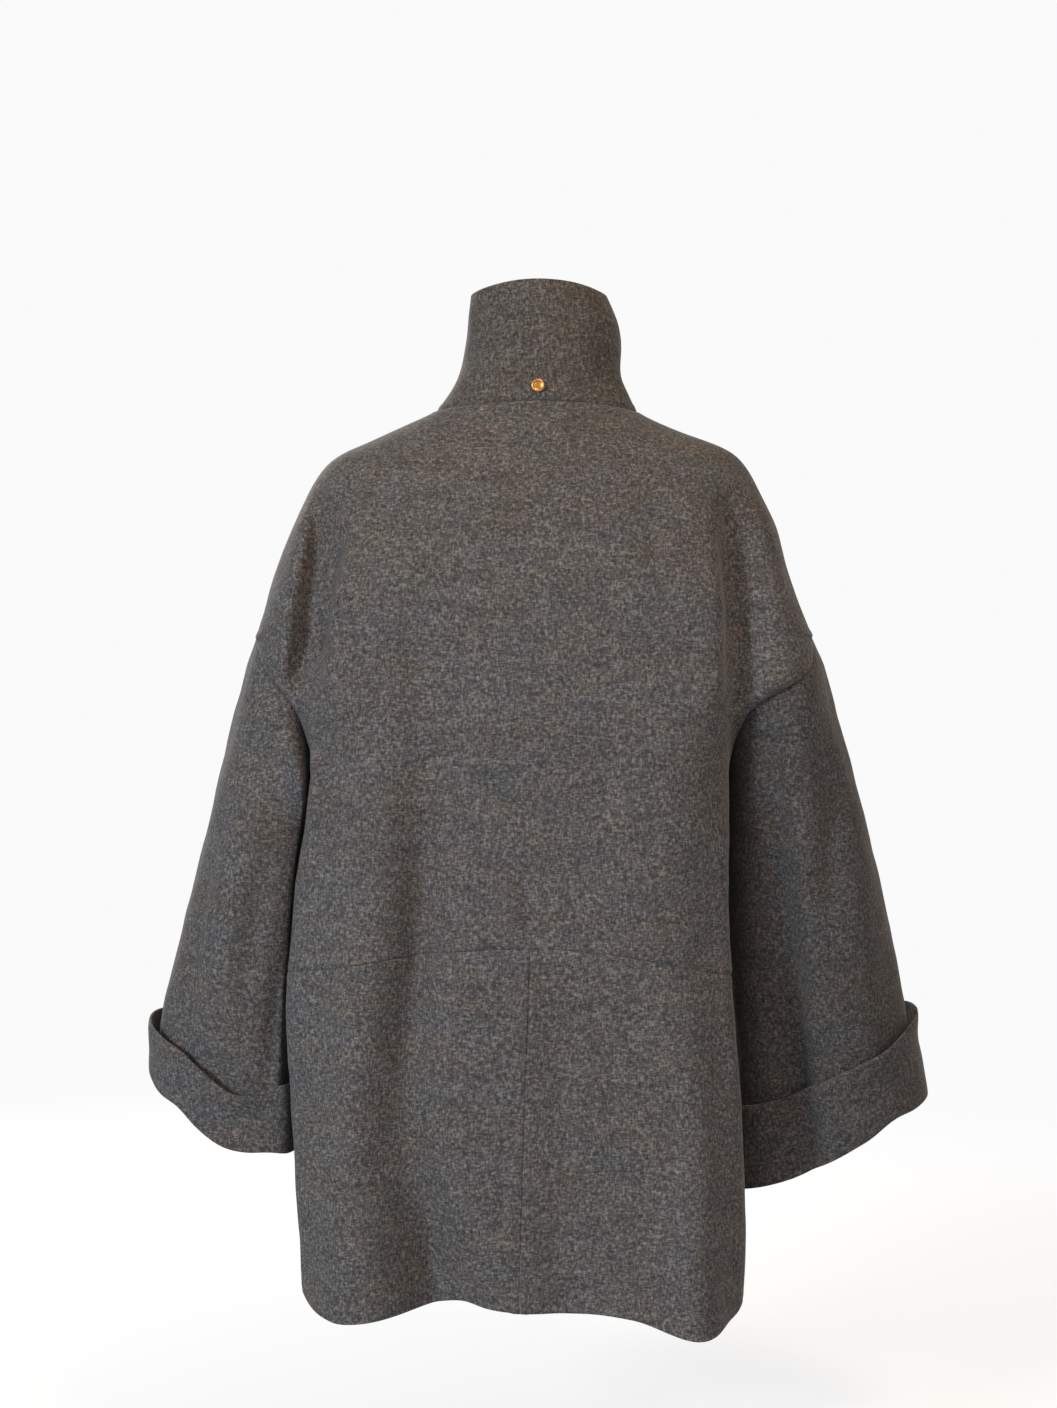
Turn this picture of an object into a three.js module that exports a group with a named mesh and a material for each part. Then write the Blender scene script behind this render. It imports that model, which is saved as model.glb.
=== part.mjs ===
// A stand-collar wool jacket in its worn, hollow form: every cut piece of cloth is a
// closed wall of its own, and neighbouring pieces stand a seam's gap apart.
//
// Millimetres. +X is the wearer's left, +Y is behind the wearer, +Z is up, and the
// origin is the middle of the neck at the height of the neck seam.

import * as THREE from 'three';

// ---------------------------------------------------------------- driving dimensions

const CLOTH = 2.4; // thickness of the coat wool
const SEAM_GAP = 0.3; // what neighbouring pieces keep between them
const LEAST_SLANT = 0.5; // the sine that a seam's pull back is worked out for at least
const PLY_GAP = 0.6; // air between two plies that lie on each other
const LAP_WIDTH = 22; // how far each front runs past the centre front
// The cuff's outside ply stands off the sleeve, and its inside reaches a part of the last
// sleeve row up.
const CUFF = { standOff: 4.6, inside: 0.5 };
const STUD = { diameter: 12, height: 3.4, x: -7.3, z: 9, clear: 0.45, segments: 24 };

// How finely a panel is divided. A half row runs from the centre to the corner line,
// where the cloth turns to the side, and on to the panel's edge.
const COLUMNS = { centreToCorner: 8, cornerToEdge: 5 };
const ROWS = { yoke: 8, armhole: 12, flank: 4, skirt: 7 };
const SLEEVE_ROWS = { upper: 4, lower: 4, cuff: 2 };
const FINE_STEPS = 120; // steps of a half section before it is shared out in columns
const EDGE_STEPS = 9; // fine steps that a corner line keeps from a panel's edge
const SEAM_FADE = 34; // folds die away this near to a side seam or an armhole

// Shoulder line and outer arm, from the neck seam to the top of the armhole.
const SHOULDER = {
  left: [
    { x: 84, z: -7 },
    { x: 117, z: -22 },
    { x: 148, z: -36 },
    { x: 176, z: -50 },
    { x: 191, z: -69 },
    { x: 205, z: -94 },
    { x: 219, z: -126 },
    { x: 231, z: -163 },
    { x: 246, z: -206 },
  ],
  right: [
    { x: -97, z: -8 },
    { x: -130, z: -23 },
    { x: -160, z: -34 },
    { x: -187, z: -48 },
    { x: -201, z: -69 },
    { x: -215, z: -94 },
    { x: -225, z: -126 },
    { x: -235, z: -163 },
    { x: -253, z: -204 },
  ],
};

// Armhole seam from its top to the underarm: depth behind and in front of the arm.
const ARMHOLE = {
  left: [
    { x: 246, z: -206, back: 0, front: 0 },
    { x: 240, z: -222, back: 36, front: -38 },
    { x: 230, z: -240, back: 56, front: -62 },
    { x: 217, z: -256, back: 64, front: -72 },
    { x: 206, z: -272, back: 60, front: -70 },
    { x: 197, z: -295, back: 43, front: -54 },
    { x: 191, z: -318, back: 22, front: -30 },
    { x: 189, z: -335, back: 0, front: 0 },
  ],
  right: [
    { x: -253, z: -204, back: 0, front: 0 },
    { x: -249, z: -222, back: 40, front: -40 },
    { x: -240, z: -242, back: 64, front: -62 },
    { x: -220, z: -256, back: 76, front: -74 },
    { x: -198, z: -270, back: 72, front: -74 },
    { x: -185, z: -290, back: 54, front: -60 },
    { x: -179, z: -314, back: 28, front: -34 },
    { x: -176, z: -335, back: 0, front: 0 },
  ],
};

// Side seam from the underarm to the hem.
const SIDE_SEAM = {
  left: [
    { x: 189, y: 0, z: -335 },
    { x: 190, y: 0, z: -400 },
    { x: 195, y: 0, z: -505, waist: true },
    { x: 198, y: 0, z: -600 },
    { x: 196, y: 0, z: -700 },
    { x: 193, y: 0, z: -795 },
  ],
  right: [
    { x: -176, y: 0, z: -335 },
    { x: -172, y: 0, z: -400 },
    { x: -169, y: 0, z: -508, waist: true },
    { x: -171, y: 0, z: -600 },
    { x: -174, y: 0, z: -700 },
    { x: -181, y: 0, z: -799 },
  ],
};

// Centre lines, from the neck seam to the hem.
const CENTRE = {
  back: [
    { x: -8, y: 65, z: -3.5 },
    { x: -6, y: 84, z: -40 },
    { x: -4, y: 112, z: -110 },
    { x: -2, y: 125, z: -180 },
    { x: 0, y: 129, z: -300 },
    { x: 0, y: 128, z: -400 },
    { x: 0, y: 127, z: -477, waist: true },
    { x: 4, y: 126, z: -600 },
    { x: 7, y: 125, z: -700 },
    { x: 9, y: 124, z: -788 },
  ],
  front: [
    { x: -8, y: -62, z: -60 },
    { x: -6, y: -84, z: -90 },
    { x: -4, y: -108, z: -140 },
    { x: -2, y: -124, z: -200 },
    { x: 0, y: -130, z: -260 },
    { x: 0, y: -130, z: -360 },
    { x: 0, y: -131, z: -480, waist: true },
    { x: 0, y: -137, z: -600 },
    { x: 0, y: -142, z: -700 },
    { x: 0, y: -145, z: -795 },
  ],
};

// Squareness of the sections: 2 is an ellipse, and more is a broader back.
const SQUARENESS = [
  { z: -3, power: 2.0 },
  { z: -50, power: 2.05 },
  { z: -110, power: 2.35 },
  { z: -200, power: 2.55 },
  { z: -330, power: 2.6 },
  { z: -480, power: 2.6 },
  { z: -640, power: 2.55 },
  { z: -800, power: 2.5 },
];

// Corner lines: the distance from the centre where the cloth turns to the side.
const CORNER = {
  back: [
    { z: -3, left: 55, right: 55 },
    { z: -50, left: 132, right: 132 },
    { z: -90, left: 168, right: 168 },
    { z: -138, left: 186, right: 182 },
    { z: -213, left: 196, right: 188 },
    { z: -258, left: 204, right: 187 },
    { z: -285, left: 190, right: 172 },
    { z: -335, left: 180, right: 164 },
    { z: -400, left: 184, right: 164 },
    { z: -494, left: 192, right: 168 },
    { z: -600, left: 192, right: 176 },
    { z: -800, left: 186, right: 178 },
  ],
  front: [
    { z: -3, left: 60, right: 60 },
    { z: -50, left: 128, right: 128 },
    { z: -90, left: 160, right: 160 },
    { z: -138, left: 174, right: 174 },
    { z: -213, left: 184, right: 182 },
    { z: -258, left: 190, right: 180 },
    { z: -300, left: 178, right: 166 },
    { z: -335, left: 172, right: 160 },
    { z: -500, left: 172, right: 160 },
    { z: -800, left: 174, right: 166 },
  ],
};

// How far the back stands out past the side seam, behind the arm.
const FLARE = { depth: 52, reach: 30 };
const FLARE_OUT = [
  { z: -285, left: 0, right: 0 },
  { z: -340, left: 8, right: 4 },
  { z: -441, left: 18, right: 10 },
  { z: -530, left: 20, right: 15 },
  { z: -610, left: 17, right: 19 },
  { z: -700, left: 13, right: 21 },
  { z: -800, left: 9, right: 12 },
];

// The largest folds. Each runs down through its rows: where it lies, how wide it is,
// and how far it sinks (minus) or stands out.
const FOLDS = {
  back: {
    leftArmValley: [
      { z: -90, x: 172, width: 12, depth: 0 },
      { z: -140, x: 183, width: 13, depth: -25 },
      { z: -200, x: 194, width: 13, depth: -33 },
      { z: -245, x: 201, width: 13, depth: -24 },
      { z: -285, x: 203, width: 14, depth: 0 },
    ],
    rightArmValley: [
      { z: -80, x: -176, width: 14, depth: 0 },
      { z: -125, x: -184, width: 15, depth: -24 },
      { z: -205, x: -190, width: 17, depth: -36 },
      { z: -262, x: -190, width: 16, depth: -30 },
      { z: -295, x: -184, width: 16, depth: 0 },
    ],
    leftSkirtValley: [
      { z: -300, x: 106, width: 24, depth: 0 },
      { z: -395, x: 103, width: 22, depth: -6 },
      { z: -484, x: 103, width: 22, depth: -9 },
      { z: -600, x: 108, width: 26, depth: -16 },
      { z: -672, x: 106, width: 30, depth: -24 },
      { z: -740, x: 94, width: 34, depth: -33 },
      { z: -800, x: 76, width: 36, depth: -38 },
    ],
    leftSkirtLobe: [
      { z: -480, x: 152, width: 26, depth: 0 },
      { z: -600, x: 152, width: 28, depth: 6 },
      { z: -800, x: 148, width: 34, depth: 18 },
    ],
    rightSkirtLobe: [
      { z: -480, x: -138, width: 30, depth: 0 },
      { z: -640, x: -138, width: 32, depth: 10 },
      { z: -800, x: -134, width: 34, depth: 24 },
    ],
    rightSkirtValley: [
      { z: -480, x: -72, width: 24, depth: 0 },
      { z: -640, x: -70, width: 26, depth: -5 },
      { z: -800, x: -66, width: 28, depth: -7 },
    ],
  },
  front: {
    leftArmValley: [
      { z: -90, x: 162, width: 14, depth: 0 },
      { z: -150, x: 176, width: 15, depth: -16 },
      { z: -215, x: 184, width: 16, depth: -24 },
      { z: -268, x: 190, width: 16, depth: -18 },
      { z: -300, x: 184, width: 16, depth: 0 },
    ],
    rightArmValley: [
      { z: -90, x: -162, width: 14, depth: 0 },
      { z: -150, x: -176, width: 15, depth: -16 },
      { z: -215, x: -182, width: 16, depth: -24 },
      { z: -268, x: -184, width: 16, depth: -18 },
      { z: -300, x: -180, width: 16, depth: 0 },
    ],
    leftSkirtValley: [
      { z: -330, x: 92, width: 24, depth: 0 },
      { z: -560, x: 96, width: 28, depth: -9 },
      { z: -800, x: 88, width: 34, depth: -24 },
    ],
    rightSkirtValley: [
      { z: -360, x: -100, width: 24, depth: 0 },
      { z: -580, x: -104, width: 28, depth: -8 },
      { z: -800, x: -98, width: 34, depth: -22 },
    ],
  },
};

// Lobes of the hem: where each lies, how wide it is, and how far it hangs down (or is
// lifted, where the drop is minus).
const HEM_LOBES = {
  back: [
    { x: 152, width: 36, drop: 8 },
    { x: 62, width: 30, drop: -5 },
    { x: -134, width: 36, drop: 17 },
  ],
  front: [
    { x: 140, width: 34, drop: 6 },
    { x: -136, width: 34, drop: 8 },
  ],
};

// Collar rings from the neck seam up: side edges, depths, and the height at the sides,
// behind and in front. The neck seam itself is taken from the body.
const COLLAR = [
  { left: 84, right: -97, back: 65, front: -62, side: -7.5, rear: -3.5, fore: -60 },
  { left: 71, right: -87, back: 64, front: -65, side: 13, rear: 17, fore: -40 },
  { left: 62, right: -81, back: 63, front: -67, side: 33, rear: 40, fore: -20 },
  { left: 56, right: -82, back: 61, front: -66, side: 64, rear: 72, fore: 12 },
  { left: 53, right: -69, back: 59, front: -62, side: 97, rear: 104, fore: 46 },
];

// Sleeve rings below the armhole: the centre, the arm from it to the outermost point,
// and the arm from it to the hindmost point.
const SLEEVE = {
  left: [
    { name: 'elbow', x: 254, y: -14, z: -455, outX: 50, outZ: 24, backY: 86, backZ: -6 },
    { name: 'cuffTop', x: 273, y: -32, z: -579, outX: 62, outZ: 26, backY: 78, backZ: -10 },
    { name: 'cuffFold', x: 275, y: -40, z: -627, outX: 65, outZ: 35, backY: 78, backZ: -23 },
  ],
  right: [
    { name: 'elbow', x: -248, y: -20, z: -455, outX: -68, outZ: 30, backY: 84, backZ: -8 },
    { name: 'cuffTop', x: -265, y: -40, z: -588, outX: -79, outZ: 41, backY: 77, backZ: -12 },
    { name: 'cuffFold', x: -271, y: -48, z: -662, outX: -86, outZ: 42, backY: 78, backZ: -8 },
  ],
};

const COLOURS = {
  wool: { color: 0x5b5755, roughness: 0.95, metalness: 0 },
  collarWool: { color: 0x57514d, roughness: 0.95, metalness: 0 },
  sleeveWool: { color: 0x514c4a, roughness: 0.95, metalness: 0 },
  brass: { color: 0xa9823f, roughness: 0.35, metalness: 1 },
};

// ------------------------------------------------------------------------- tools

const vector = (x, y, z) => new THREE.Vector3(x, y, z);

// Value of a column at a height, on a smooth curve through the table's rows.
function lookup(table, column, z) {
  const last = table.length - 1;
  if (z >= table[0].z) return table[0][column];
  if (z <= table[last].z) return table[last][column];
  const slope = (i) => (table[i + 1][column] - table[i][column]) / (table[i + 1].z - table[i].z);
  const tangent = (i) => {
    if (i === 0) return slope(0);
    if (i === last) return slope(last - 1);
    const before = slope(i - 1);
    const after = slope(i);
    return before * after <= 0 ? 0 : (2 * before * after) / (before + after);
  };
  const i = table.findIndex((row, index) => index < last && z <= row.z && z >= table[index + 1].z);
  const step = table[i + 1].z - table[i].z;
  const t = (z - table[i].z) / step;
  const start = table[i][column] * (1 + 2 * t) * (1 - t) ** 2 + tangent(i) * step * t * (1 - t) ** 2;
  const end = table[i + 1][column] * (3 - 2 * t) * t ** 2 + tangent(i + 1) * step * (t - 1) * t ** 2;
  return start + end;
}

// Points at equal steps along a smooth curve through the given points.
function spaced(points, steps) {
  const curve = new THREE.CatmullRomCurve3(points, false, 'centripetal');
  curve.arcLengthDivisions = 400;
  return curve.getSpacedPoints(steps);
}

// Points at equal steps along a polyline, between two of its indices.
function share(line, from, to, steps) {
  const direction = Math.sign(to - from);
  const lengths = [0];
  const path = [line[from]];
  for (let i = from + direction; i !== to + direction; i += direction) {
    lengths.push(lengths[lengths.length - 1] + line[i].distanceTo(path[path.length - 1]));
    path.push(line[i]);
  }
  const total = lengths[lengths.length - 1];
  const points = [];
  for (let step = 0; step <= steps; step += 1) {
    const target = (total * step) / steps;
    const found = lengths.findIndex((length) => length >= target && length > 0);
    const k = found < 0 ? lengths.length - 1 : found;
    const t = (target - lengths[k - 1]) / (lengths[k] - lengths[k - 1]);
    points.push(path[k - 1].clone().lerp(path[k], THREE.MathUtils.clamp(t, 0, 1)));
  }
  return points;
}

// Chains of points that share their meeting points, as one list.
const chain = (...lists) => lists.flatMap((list, index) => (index === 0 ? list : list.slice(1)));

// ------------------------------------------------------------------- body sections

const BODY_ROWS = ROWS.yoke + ROWS.armhole + ROWS.flank + ROWS.skirt;
const WAIST_ROW = BODY_ROWS - ROWS.skirt;
const toPoint = (row) => vector(row.x, row.y ?? 0, row.z);
const waistOf = (table) => table.find((row) => row.waist).z;

// Edge of a panel, row by row: shoulder line, armhole seam, then side seam.
function panelEdge(side, face) {
  const shoulder = spaced(SHOULDER[side].map(toPoint), ROWS.yoke);
  const armhole = spaced(
    ARMHOLE[side].map((row) => vector(row.x, row[face], row.z)),
    ROWS.armhole,
  );
  const seam = SIDE_SEAM[side];
  const waist = waistOf(seam);
  const seamPoint = (z) => vector(lookup(seam, 'x', z), lookup(seam, 'y', z), z);
  const stretch = (top, bottom, steps) =>
    Array.from({ length: steps + 1 }, (_, i) => seamPoint(top + ((bottom - top) * i) / steps));
  const flank = stretch(seam[0].z, waist, ROWS.flank);
  const skirt = stretch(waist, seam[seam.length - 1].z, ROWS.skirt);
  return chain(shoulder, armhole, flank, skirt);
}

// Centre line of a face, row by row, in even steps down to the waist and to the hem.
function centreLine(face) {
  const table = CENTRE[face];
  const waist = waistOf(table);
  const stretch = (top, bottom, steps) =>
    Array.from({ length: steps + 1 }, (_, i) => {
      const z = top + ((bottom - top) * i) / steps;
      return vector(lookup(table, 'x', z), lookup(table, 'y', z), z);
    });
  return chain(
    stretch(table[0].z, waist, WAIST_ROW),
    stretch(waist, table[table.length - 1].z, ROWS.skirt),
  );
}

// A point of a section, from the centre (t = 0) to the panel's edge (t = 1).
function sectionPoint(centre, edge, t) {
  const power = lookup(SQUARENESS, 'power', (centre.z + edge.z) / 2);
  const depth = Math.abs(centre.y);
  const reach = Math.abs(edge.x - centre.x);
  const rise = (Math.abs(edge.y) / depth) ** power;
  const halfWidth = reach / (1 - rise) ** (1 / power);
  const edgeAngle = Math.acos((reach / halfWidth) ** (power / 2));
  const angle = Math.PI / 2 + (edgeAngle - Math.PI / 2) * t;
  const across = halfWidth * Math.max(Math.cos(angle), 0) ** (2 / power);
  const outwards = Math.min(across / reach, 1);
  return vector(
    centre.x + Math.sign(edge.x) * across,
    Math.sign(centre.y) * depth * Math.sin(angle) ** (2 / power),
    centre.z + (edge.z - centre.z) * outwards ** 2,
  );
}

// Outward stand of all folds of a face at a place.
function foldStand(face, x, z) {
  let stand = 0;
  for (const fold of Object.values(FOLDS[face])) {
    const inside = z <= fold[0].z;
    const offset = (x - lookup(fold, 'x', z)) / lookup(fold, 'width', z);
    if (inside) stand += lookup(fold, 'depth', z) * Math.exp(-(offset ** 2));
  }
  return stand;
}

// How far the cloth hangs below its straight row at a place: all of the drop at the hem,
// and less and less of it up to the waist.
function hemDrop(face, x, z) {
  const waist = waistOf(CENTRE[face]);
  const hem = CENTRE[face][CENTRE[face].length - 1].z;
  const share = THREE.MathUtils.clamp((waist - z) / (waist - hem), 0, 1);
  let drop = 0;
  for (const lobe of HEM_LOBES[face]) {
    drop += lobe.drop * Math.exp(-(((x - lobe.x) / lobe.width) ** 2));
  }
  return drop * share ** 2;
}

// One row of a face as a fine line, from the left edge to the right edge.
function fineRow(face, centre, left, right) {
  const line = [];
  for (let i = -FINE_STEPS; i <= FINE_STEPS; i += 1) {
    const edge = i < 0 ? left : right;
    const point = sectionPoint(centre, edge, Math.abs(i) / FINE_STEPS);
    if (face === 'back') {
      const side = i < 0 ? 'left' : 'right';
      const flare = lookup(FLARE_OUT, side, point.z);
      const near = Math.exp(-(((point.y - FLARE.depth) / FLARE.reach) ** 2));
      const fade = THREE.MathUtils.smoothstep(point.y - edge.y, 0, FLARE.reach);
      point.x += Math.sign(edge.x) * flare * near * fade;
    }
    line.push(point);
  }
  const turn = face === 'back' ? 1 : -1;
  return line.map((point, i) => {
    const before = line[Math.max(i - 1, 0)];
    const after = line[Math.min(i + 1, line.length - 1)];
    const outward = vector(after.y - before.y, before.x - after.x, 0).multiplyScalar(turn);
    const edge = i < FINE_STEPS ? left : right;
    const fade = THREE.MathUtils.smoothstep(point.distanceTo(edge), 0, SEAM_FADE);
    const stand = foldStand(face, point.x, point.z) * fade;
    const moved = point.clone().addScaledVector(outward.normalize(), stand);
    moved.z -= hemDrop(face, point.x, point.z) * fade;
    return moved;
  });
}

// The same row in its columns: from the left edge to the right edge.
function panelRow(face, centre, left, right) {
  const line = fineRow(face, centre, left, right);
  const middle = FINE_STEPS;
  const corner = (side, direction) => {
    const distance = lookup(CORNER[face], side, (centre.z + (side === 'left' ? left : right).z) / 2);
    let i = middle;
    while (Math.abs(line[i].x - centre.x) < distance) {
      i += direction;
      if (i < EDGE_STEPS || i >= line.length - EDGE_STEPS) break;
    }
    return i;
  };
  const leftCorner = corner('left', -1);
  const rightCorner = corner('right', 1);
  const halfRow = (cornerIndex, edgeIndex) => {
    const outer = share(line, cornerIndex, edgeIndex, COLUMNS.cornerToEdge);
    if (face === 'back') return chain(share(line, middle, cornerIndex, COLUMNS.centreToCorner), outer);
    let lap = middle;
    const direction = Math.sign(edgeIndex - middle);
    while (line[lap].distanceTo(line[middle]) < LAP_WIDTH) lap += direction;
    const inner = chain([line[middle]], [line[middle], line[lap]]);
    return chain(inner, share(line, lap, cornerIndex, COLUMNS.centreToCorner - 1), outer);
  };
  return chain(halfRow(leftCorner, 0).reverse(), halfRow(rightCorner, line.length - 1));
}

function faceGrid(face) {
  const left = panelEdge('left', face);
  const right = panelEdge('right', face);
  const centre = centreLine(face);
  return centre.map((point, row) => panelRow(face, point, left[row], right[row]));
}

const HALF = COLUMNS.centreToCorner + COLUMNS.cornerToEdge;
const backGrid = faceGrid('back');
const frontGrid = faceGrid('front').map((row) => row.reverse());

// ------------------------------------------------------------------------ sleeves

const RING = 2 * ROWS.armhole;

// Rings of a sleeve from the armhole to the cuff's fold, each starting at the outer arm
// and running behind the arm first.
function sleeveRings(side) {
  const first = ROWS.yoke;
  const rowEnd = (grid, column, row) => grid[first + row][column];
  const backColumn = side === 'left' ? 0 : 2 * HALF;
  const frontColumn = side === 'left' ? 2 * HALF : 0;
  const armhole = [];
  for (let j = 0; j < RING; j += 1) {
    const behind = j <= ROWS.armhole;
    armhole.push(
      behind ? rowEnd(backGrid, backColumn, j) : rowEnd(frontGrid, frontColumn, RING - j),
    );
  }
  const stations = SLEEVE[side].map((ring) =>
    armhole.map((_, j) => {
      const angle = (2 * Math.PI * j) / RING;
      const out = Math.cos(angle);
      const behind = Math.sin(angle);
      return vector(
        ring.x + ring.outX * out,
        ring.y + ring.backY * behind,
        ring.z + ring.outZ * out + ring.backZ * behind,
      );
    }),
  );
  const steps = [SLEEVE_ROWS.upper, SLEEVE_ROWS.lower, SLEEVE_ROWS.cuff];
  const lines = armhole.map((start, j) => {
    const curve = new THREE.CatmullRomCurve3(
      [start, ...stations.map((station) => station[j])],
      false,
      'centripetal',
    );
    const line = [start];
    steps.forEach((count, stretch) => {
      for (let k = 1; k <= count; k += 1) line.push(curve.getPoint((stretch + k / count) / steps.length));
    });
    return line;
  });
  const rings = lines[0].map((_, row) => lines.map((line) => line[row]));
  return side === 'left' ? rings : rings.map((ring) => [ring[0], ...ring.slice(1).reverse()]);
}

// ------------------------------------------------------------------------- collar

// Rings of the collar from its top edge down to the neck seam, from the end that lies
// under at the centre front, round the back, to the end that lies over.
function collarRings() {
  const neck = chain(frontGrid[0].slice(HALF - 1), backGrid[0], frontGrid[0].slice(0, HALF + 2));
  const seam = COLLAR[0];
  const rings = COLLAR.slice(1).map((ring) =>
    neck.map((point) => {
      const behind = point.y > 0;
      const seamDepth = behind ? seam.back : -seam.front;
      const depth = behind ? ring.back : -ring.front;
      const height = behind ? ring.rear : ring.fore;
      const across = (point.x - (seam.left + seam.right) / 2) / ((seam.left - seam.right) / 2);
      const angle = Math.atan2(point.y / seamDepth, across);
      return vector(
        (ring.left + ring.right) / 2 + ((ring.left - ring.right) / 2) * Math.cos(angle),
        depth * Math.sin(angle),
        ring.side + (height - ring.side) * Math.sin(angle) ** 2,
      );
    }),
  );
  return [...rings.reverse(), neck];
}

// ------------------------------------------------------------- walls from the grids

// Triangles of a grid's face, as indices of row * columns + column.
function gridTriangles(rows, columns, ring, offset = 0) {
  const indices = [];
  const wide = ring ? columns : columns - 1;
  for (let row = 0; row < rows - 1; row += 1) {
    for (let column = 0; column < wide; column += 1) {
      const next = (column + 1) % columns;
      const a = offset + row * columns + column;
      const b = offset + (row + 1) * columns + column;
      const c = offset + (row + 1) * columns + next;
      const d = offset + row * columns + next;
      indices.push(a, b, c, a, c, d);
    }
  }
  return indices;
}

const key = (point) => [point.x, point.y, point.z].map((value) => value.toFixed(2)).join();

// Outward normals of some panels that run on into each other, by point. Each face counts
// by the angle of its corner there.
function groupNormals(panels) {
  const normals = new Map();
  for (const { grid, ring } of panels) {
    const points = grid.flat();
    const indices = gridTriangles(grid.length, grid[0].length, ring);
    for (let i = 0; i < indices.length; i += 3) {
      const [a, b, c] = indices.slice(i, i + 3).map((index) => points[index]);
      const face = b.clone().sub(a).cross(c.clone().sub(a)).normalize();
      for (const [corner, one, other] of [[a, b, c], [b, c, a], [c, a, b]]) {
        const angle = one.clone().sub(corner).angleTo(other.clone().sub(corner));
        const name = key(corner);
        if (!normals.has(name)) normals.set(name, vector(0, 0, 0));
        normals.get(name).addScaledVector(face, angle);
      }
    }
  }
  normals.forEach((normal) => normal.normalize());
  return normals;
}

// Normals by point for all groups: where two groups are sewn together it halves the
// angle between them, so that their walls meet in a mitre.
function sharedNormals(groups) {
  const shared = new Map();
  for (const normals of groups.map(groupNormals)) {
    normals.forEach((normal, name) => {
      shared.set(name, (shared.get(name) ?? vector(0, 0, 0)).add(normal));
    });
  }
  shared.forEach((normal) => normal.normalize());
  return shared;
}

// ---------------------------------------------------------------- the lap in front

// The right front and the collar's right end lie over the left ones, so their last
// columns are raised by a ply.
function raisedGrid(grid, start, normals) {
  return grid.map((line) =>
    line.map((point, column) => {
      const rise = (CLOTH + PLY_GAP) * THREE.MathUtils.smoothstep(column - start, HALF - 4, HALF - 1);
      return point.clone().addScaledVector(normals.get(key(point)), rise);
    }),
  );
}

const collarGrid = collarRings();
const flatNormals = sharedNormals([
  [{ grid: backGrid }, { grid: frontGrid }],
  [{ grid: collarGrid }],
]);
const overStart = collarGrid[0].length - (HALF + 2);
const rightFront = raisedGrid(frontGrid.map((line) => line.slice(0, HALF + 2)), 0, flatNormals);
const leftFront = frontGrid.map((line) => line.slice(HALF - 1));
const lappedCollar = raisedGrid(collarGrid, overStart, flatNormals);

// ------------------------------------------------------------------------ panels

// Every panel: its grid (rows down, columns anticlockwise seen from above), which of
// its edges are sewn, and whether its columns close into a ring.
const lowerBack = backGrid.slice(WAIST_ROW);
const PANELS = {
  back_upper: {
    grid: backGrid.slice(0, WAIST_ROW + 1),
    sewn: { top: true, bottom: true, first: true, last: true },
    finish: COLOURS.wool,
  },
  back_lower_left: {
    grid: lowerBack.map((row) => row.slice(0, HALF + 1)),
    sewn: { top: true, first: true, last: true },
    finish: COLOURS.wool,
  },
  back_lower_right: {
    grid: lowerBack.map((row) => row.slice(HALF)),
    sewn: { top: true, first: true, last: true },
    finish: COLOURS.wool,
  },
  front_right: { grid: rightFront, sewn: { top: true, first: true }, finish: COLOURS.wool },
  front_left: { grid: leftFront, sewn: { top: true, last: true }, finish: COLOURS.wool },
  collar: { grid: lappedCollar, sewn: { bottom: true }, finish: COLOURS.collarWool },
  sleeve_left: {
    grid: sleeveRings('left'),
    ring: true,
    sewn: { top: true },
    finish: COLOURS.sleeveWool,
  },
  sleeve_right: {
    grid: sleeveRings('right'),
    ring: true,
    sewn: { top: true },
    finish: COLOURS.sleeveWool,
  },
};

// The body's panels run on into each other, and each tube is sewn on at an angle.
const TUBES = ['collar', 'sleeve_left', 'sleeve_right'];
const isTube = (name) => TUBES.includes(name);
const bodyNames = Object.keys(PANELS).filter((name) => !isTube(name));
const NORMALS = sharedNormals([
  bodyNames.map((name) => PANELS[name]),
  ...TUBES.map((name) => [PANELS[name]]),
]);
const normalAt = (point) => NORMALS.get(key(point));

// The pull of a sewn edge back into its own panel, half the seam's gap, square to the
// plane in which two panels meet.
function seamPull(grid, ring, row, column, sewn) {
  const point = grid[row][column];
  const columns = grid[row].length;
  const pull = vector(0, 0, 0);
  const towards = (inside, before, after) => {
    const along = after.clone().sub(before).normalize();
    const way = inside.clone().sub(point);
    way.addScaledVector(along, -way.dot(along)).normalize();
    const across = along.cross(normalAt(point)).normalize();
    const slant = Math.max(Math.abs(way.dot(across)), LEAST_SLANT);
    pull.addScaledVector(way, SEAM_GAP / 2 / slant);
  };
  const beside = (step) => {
    if (ring) return grid[row][(column + step + columns) % columns];
    return grid[row][THREE.MathUtils.clamp(column + step, 0, columns - 1)];
  };
  const over = (step) => grid[THREE.MathUtils.clamp(row + step, 0, grid.length - 1)][column];
  if (sewn.top && row === 0) towards(over(1), beside(-1), beside(1));
  if (sewn.bottom && row === grid.length - 1) towards(over(-1), beside(-1), beside(1));
  if (sewn.first && column === 0) towards(beside(1), over(-1), over(1));
  if (sewn.last && column === columns - 1) towards(beside(-1), over(-1), over(1));
  return pull;
}

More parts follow.
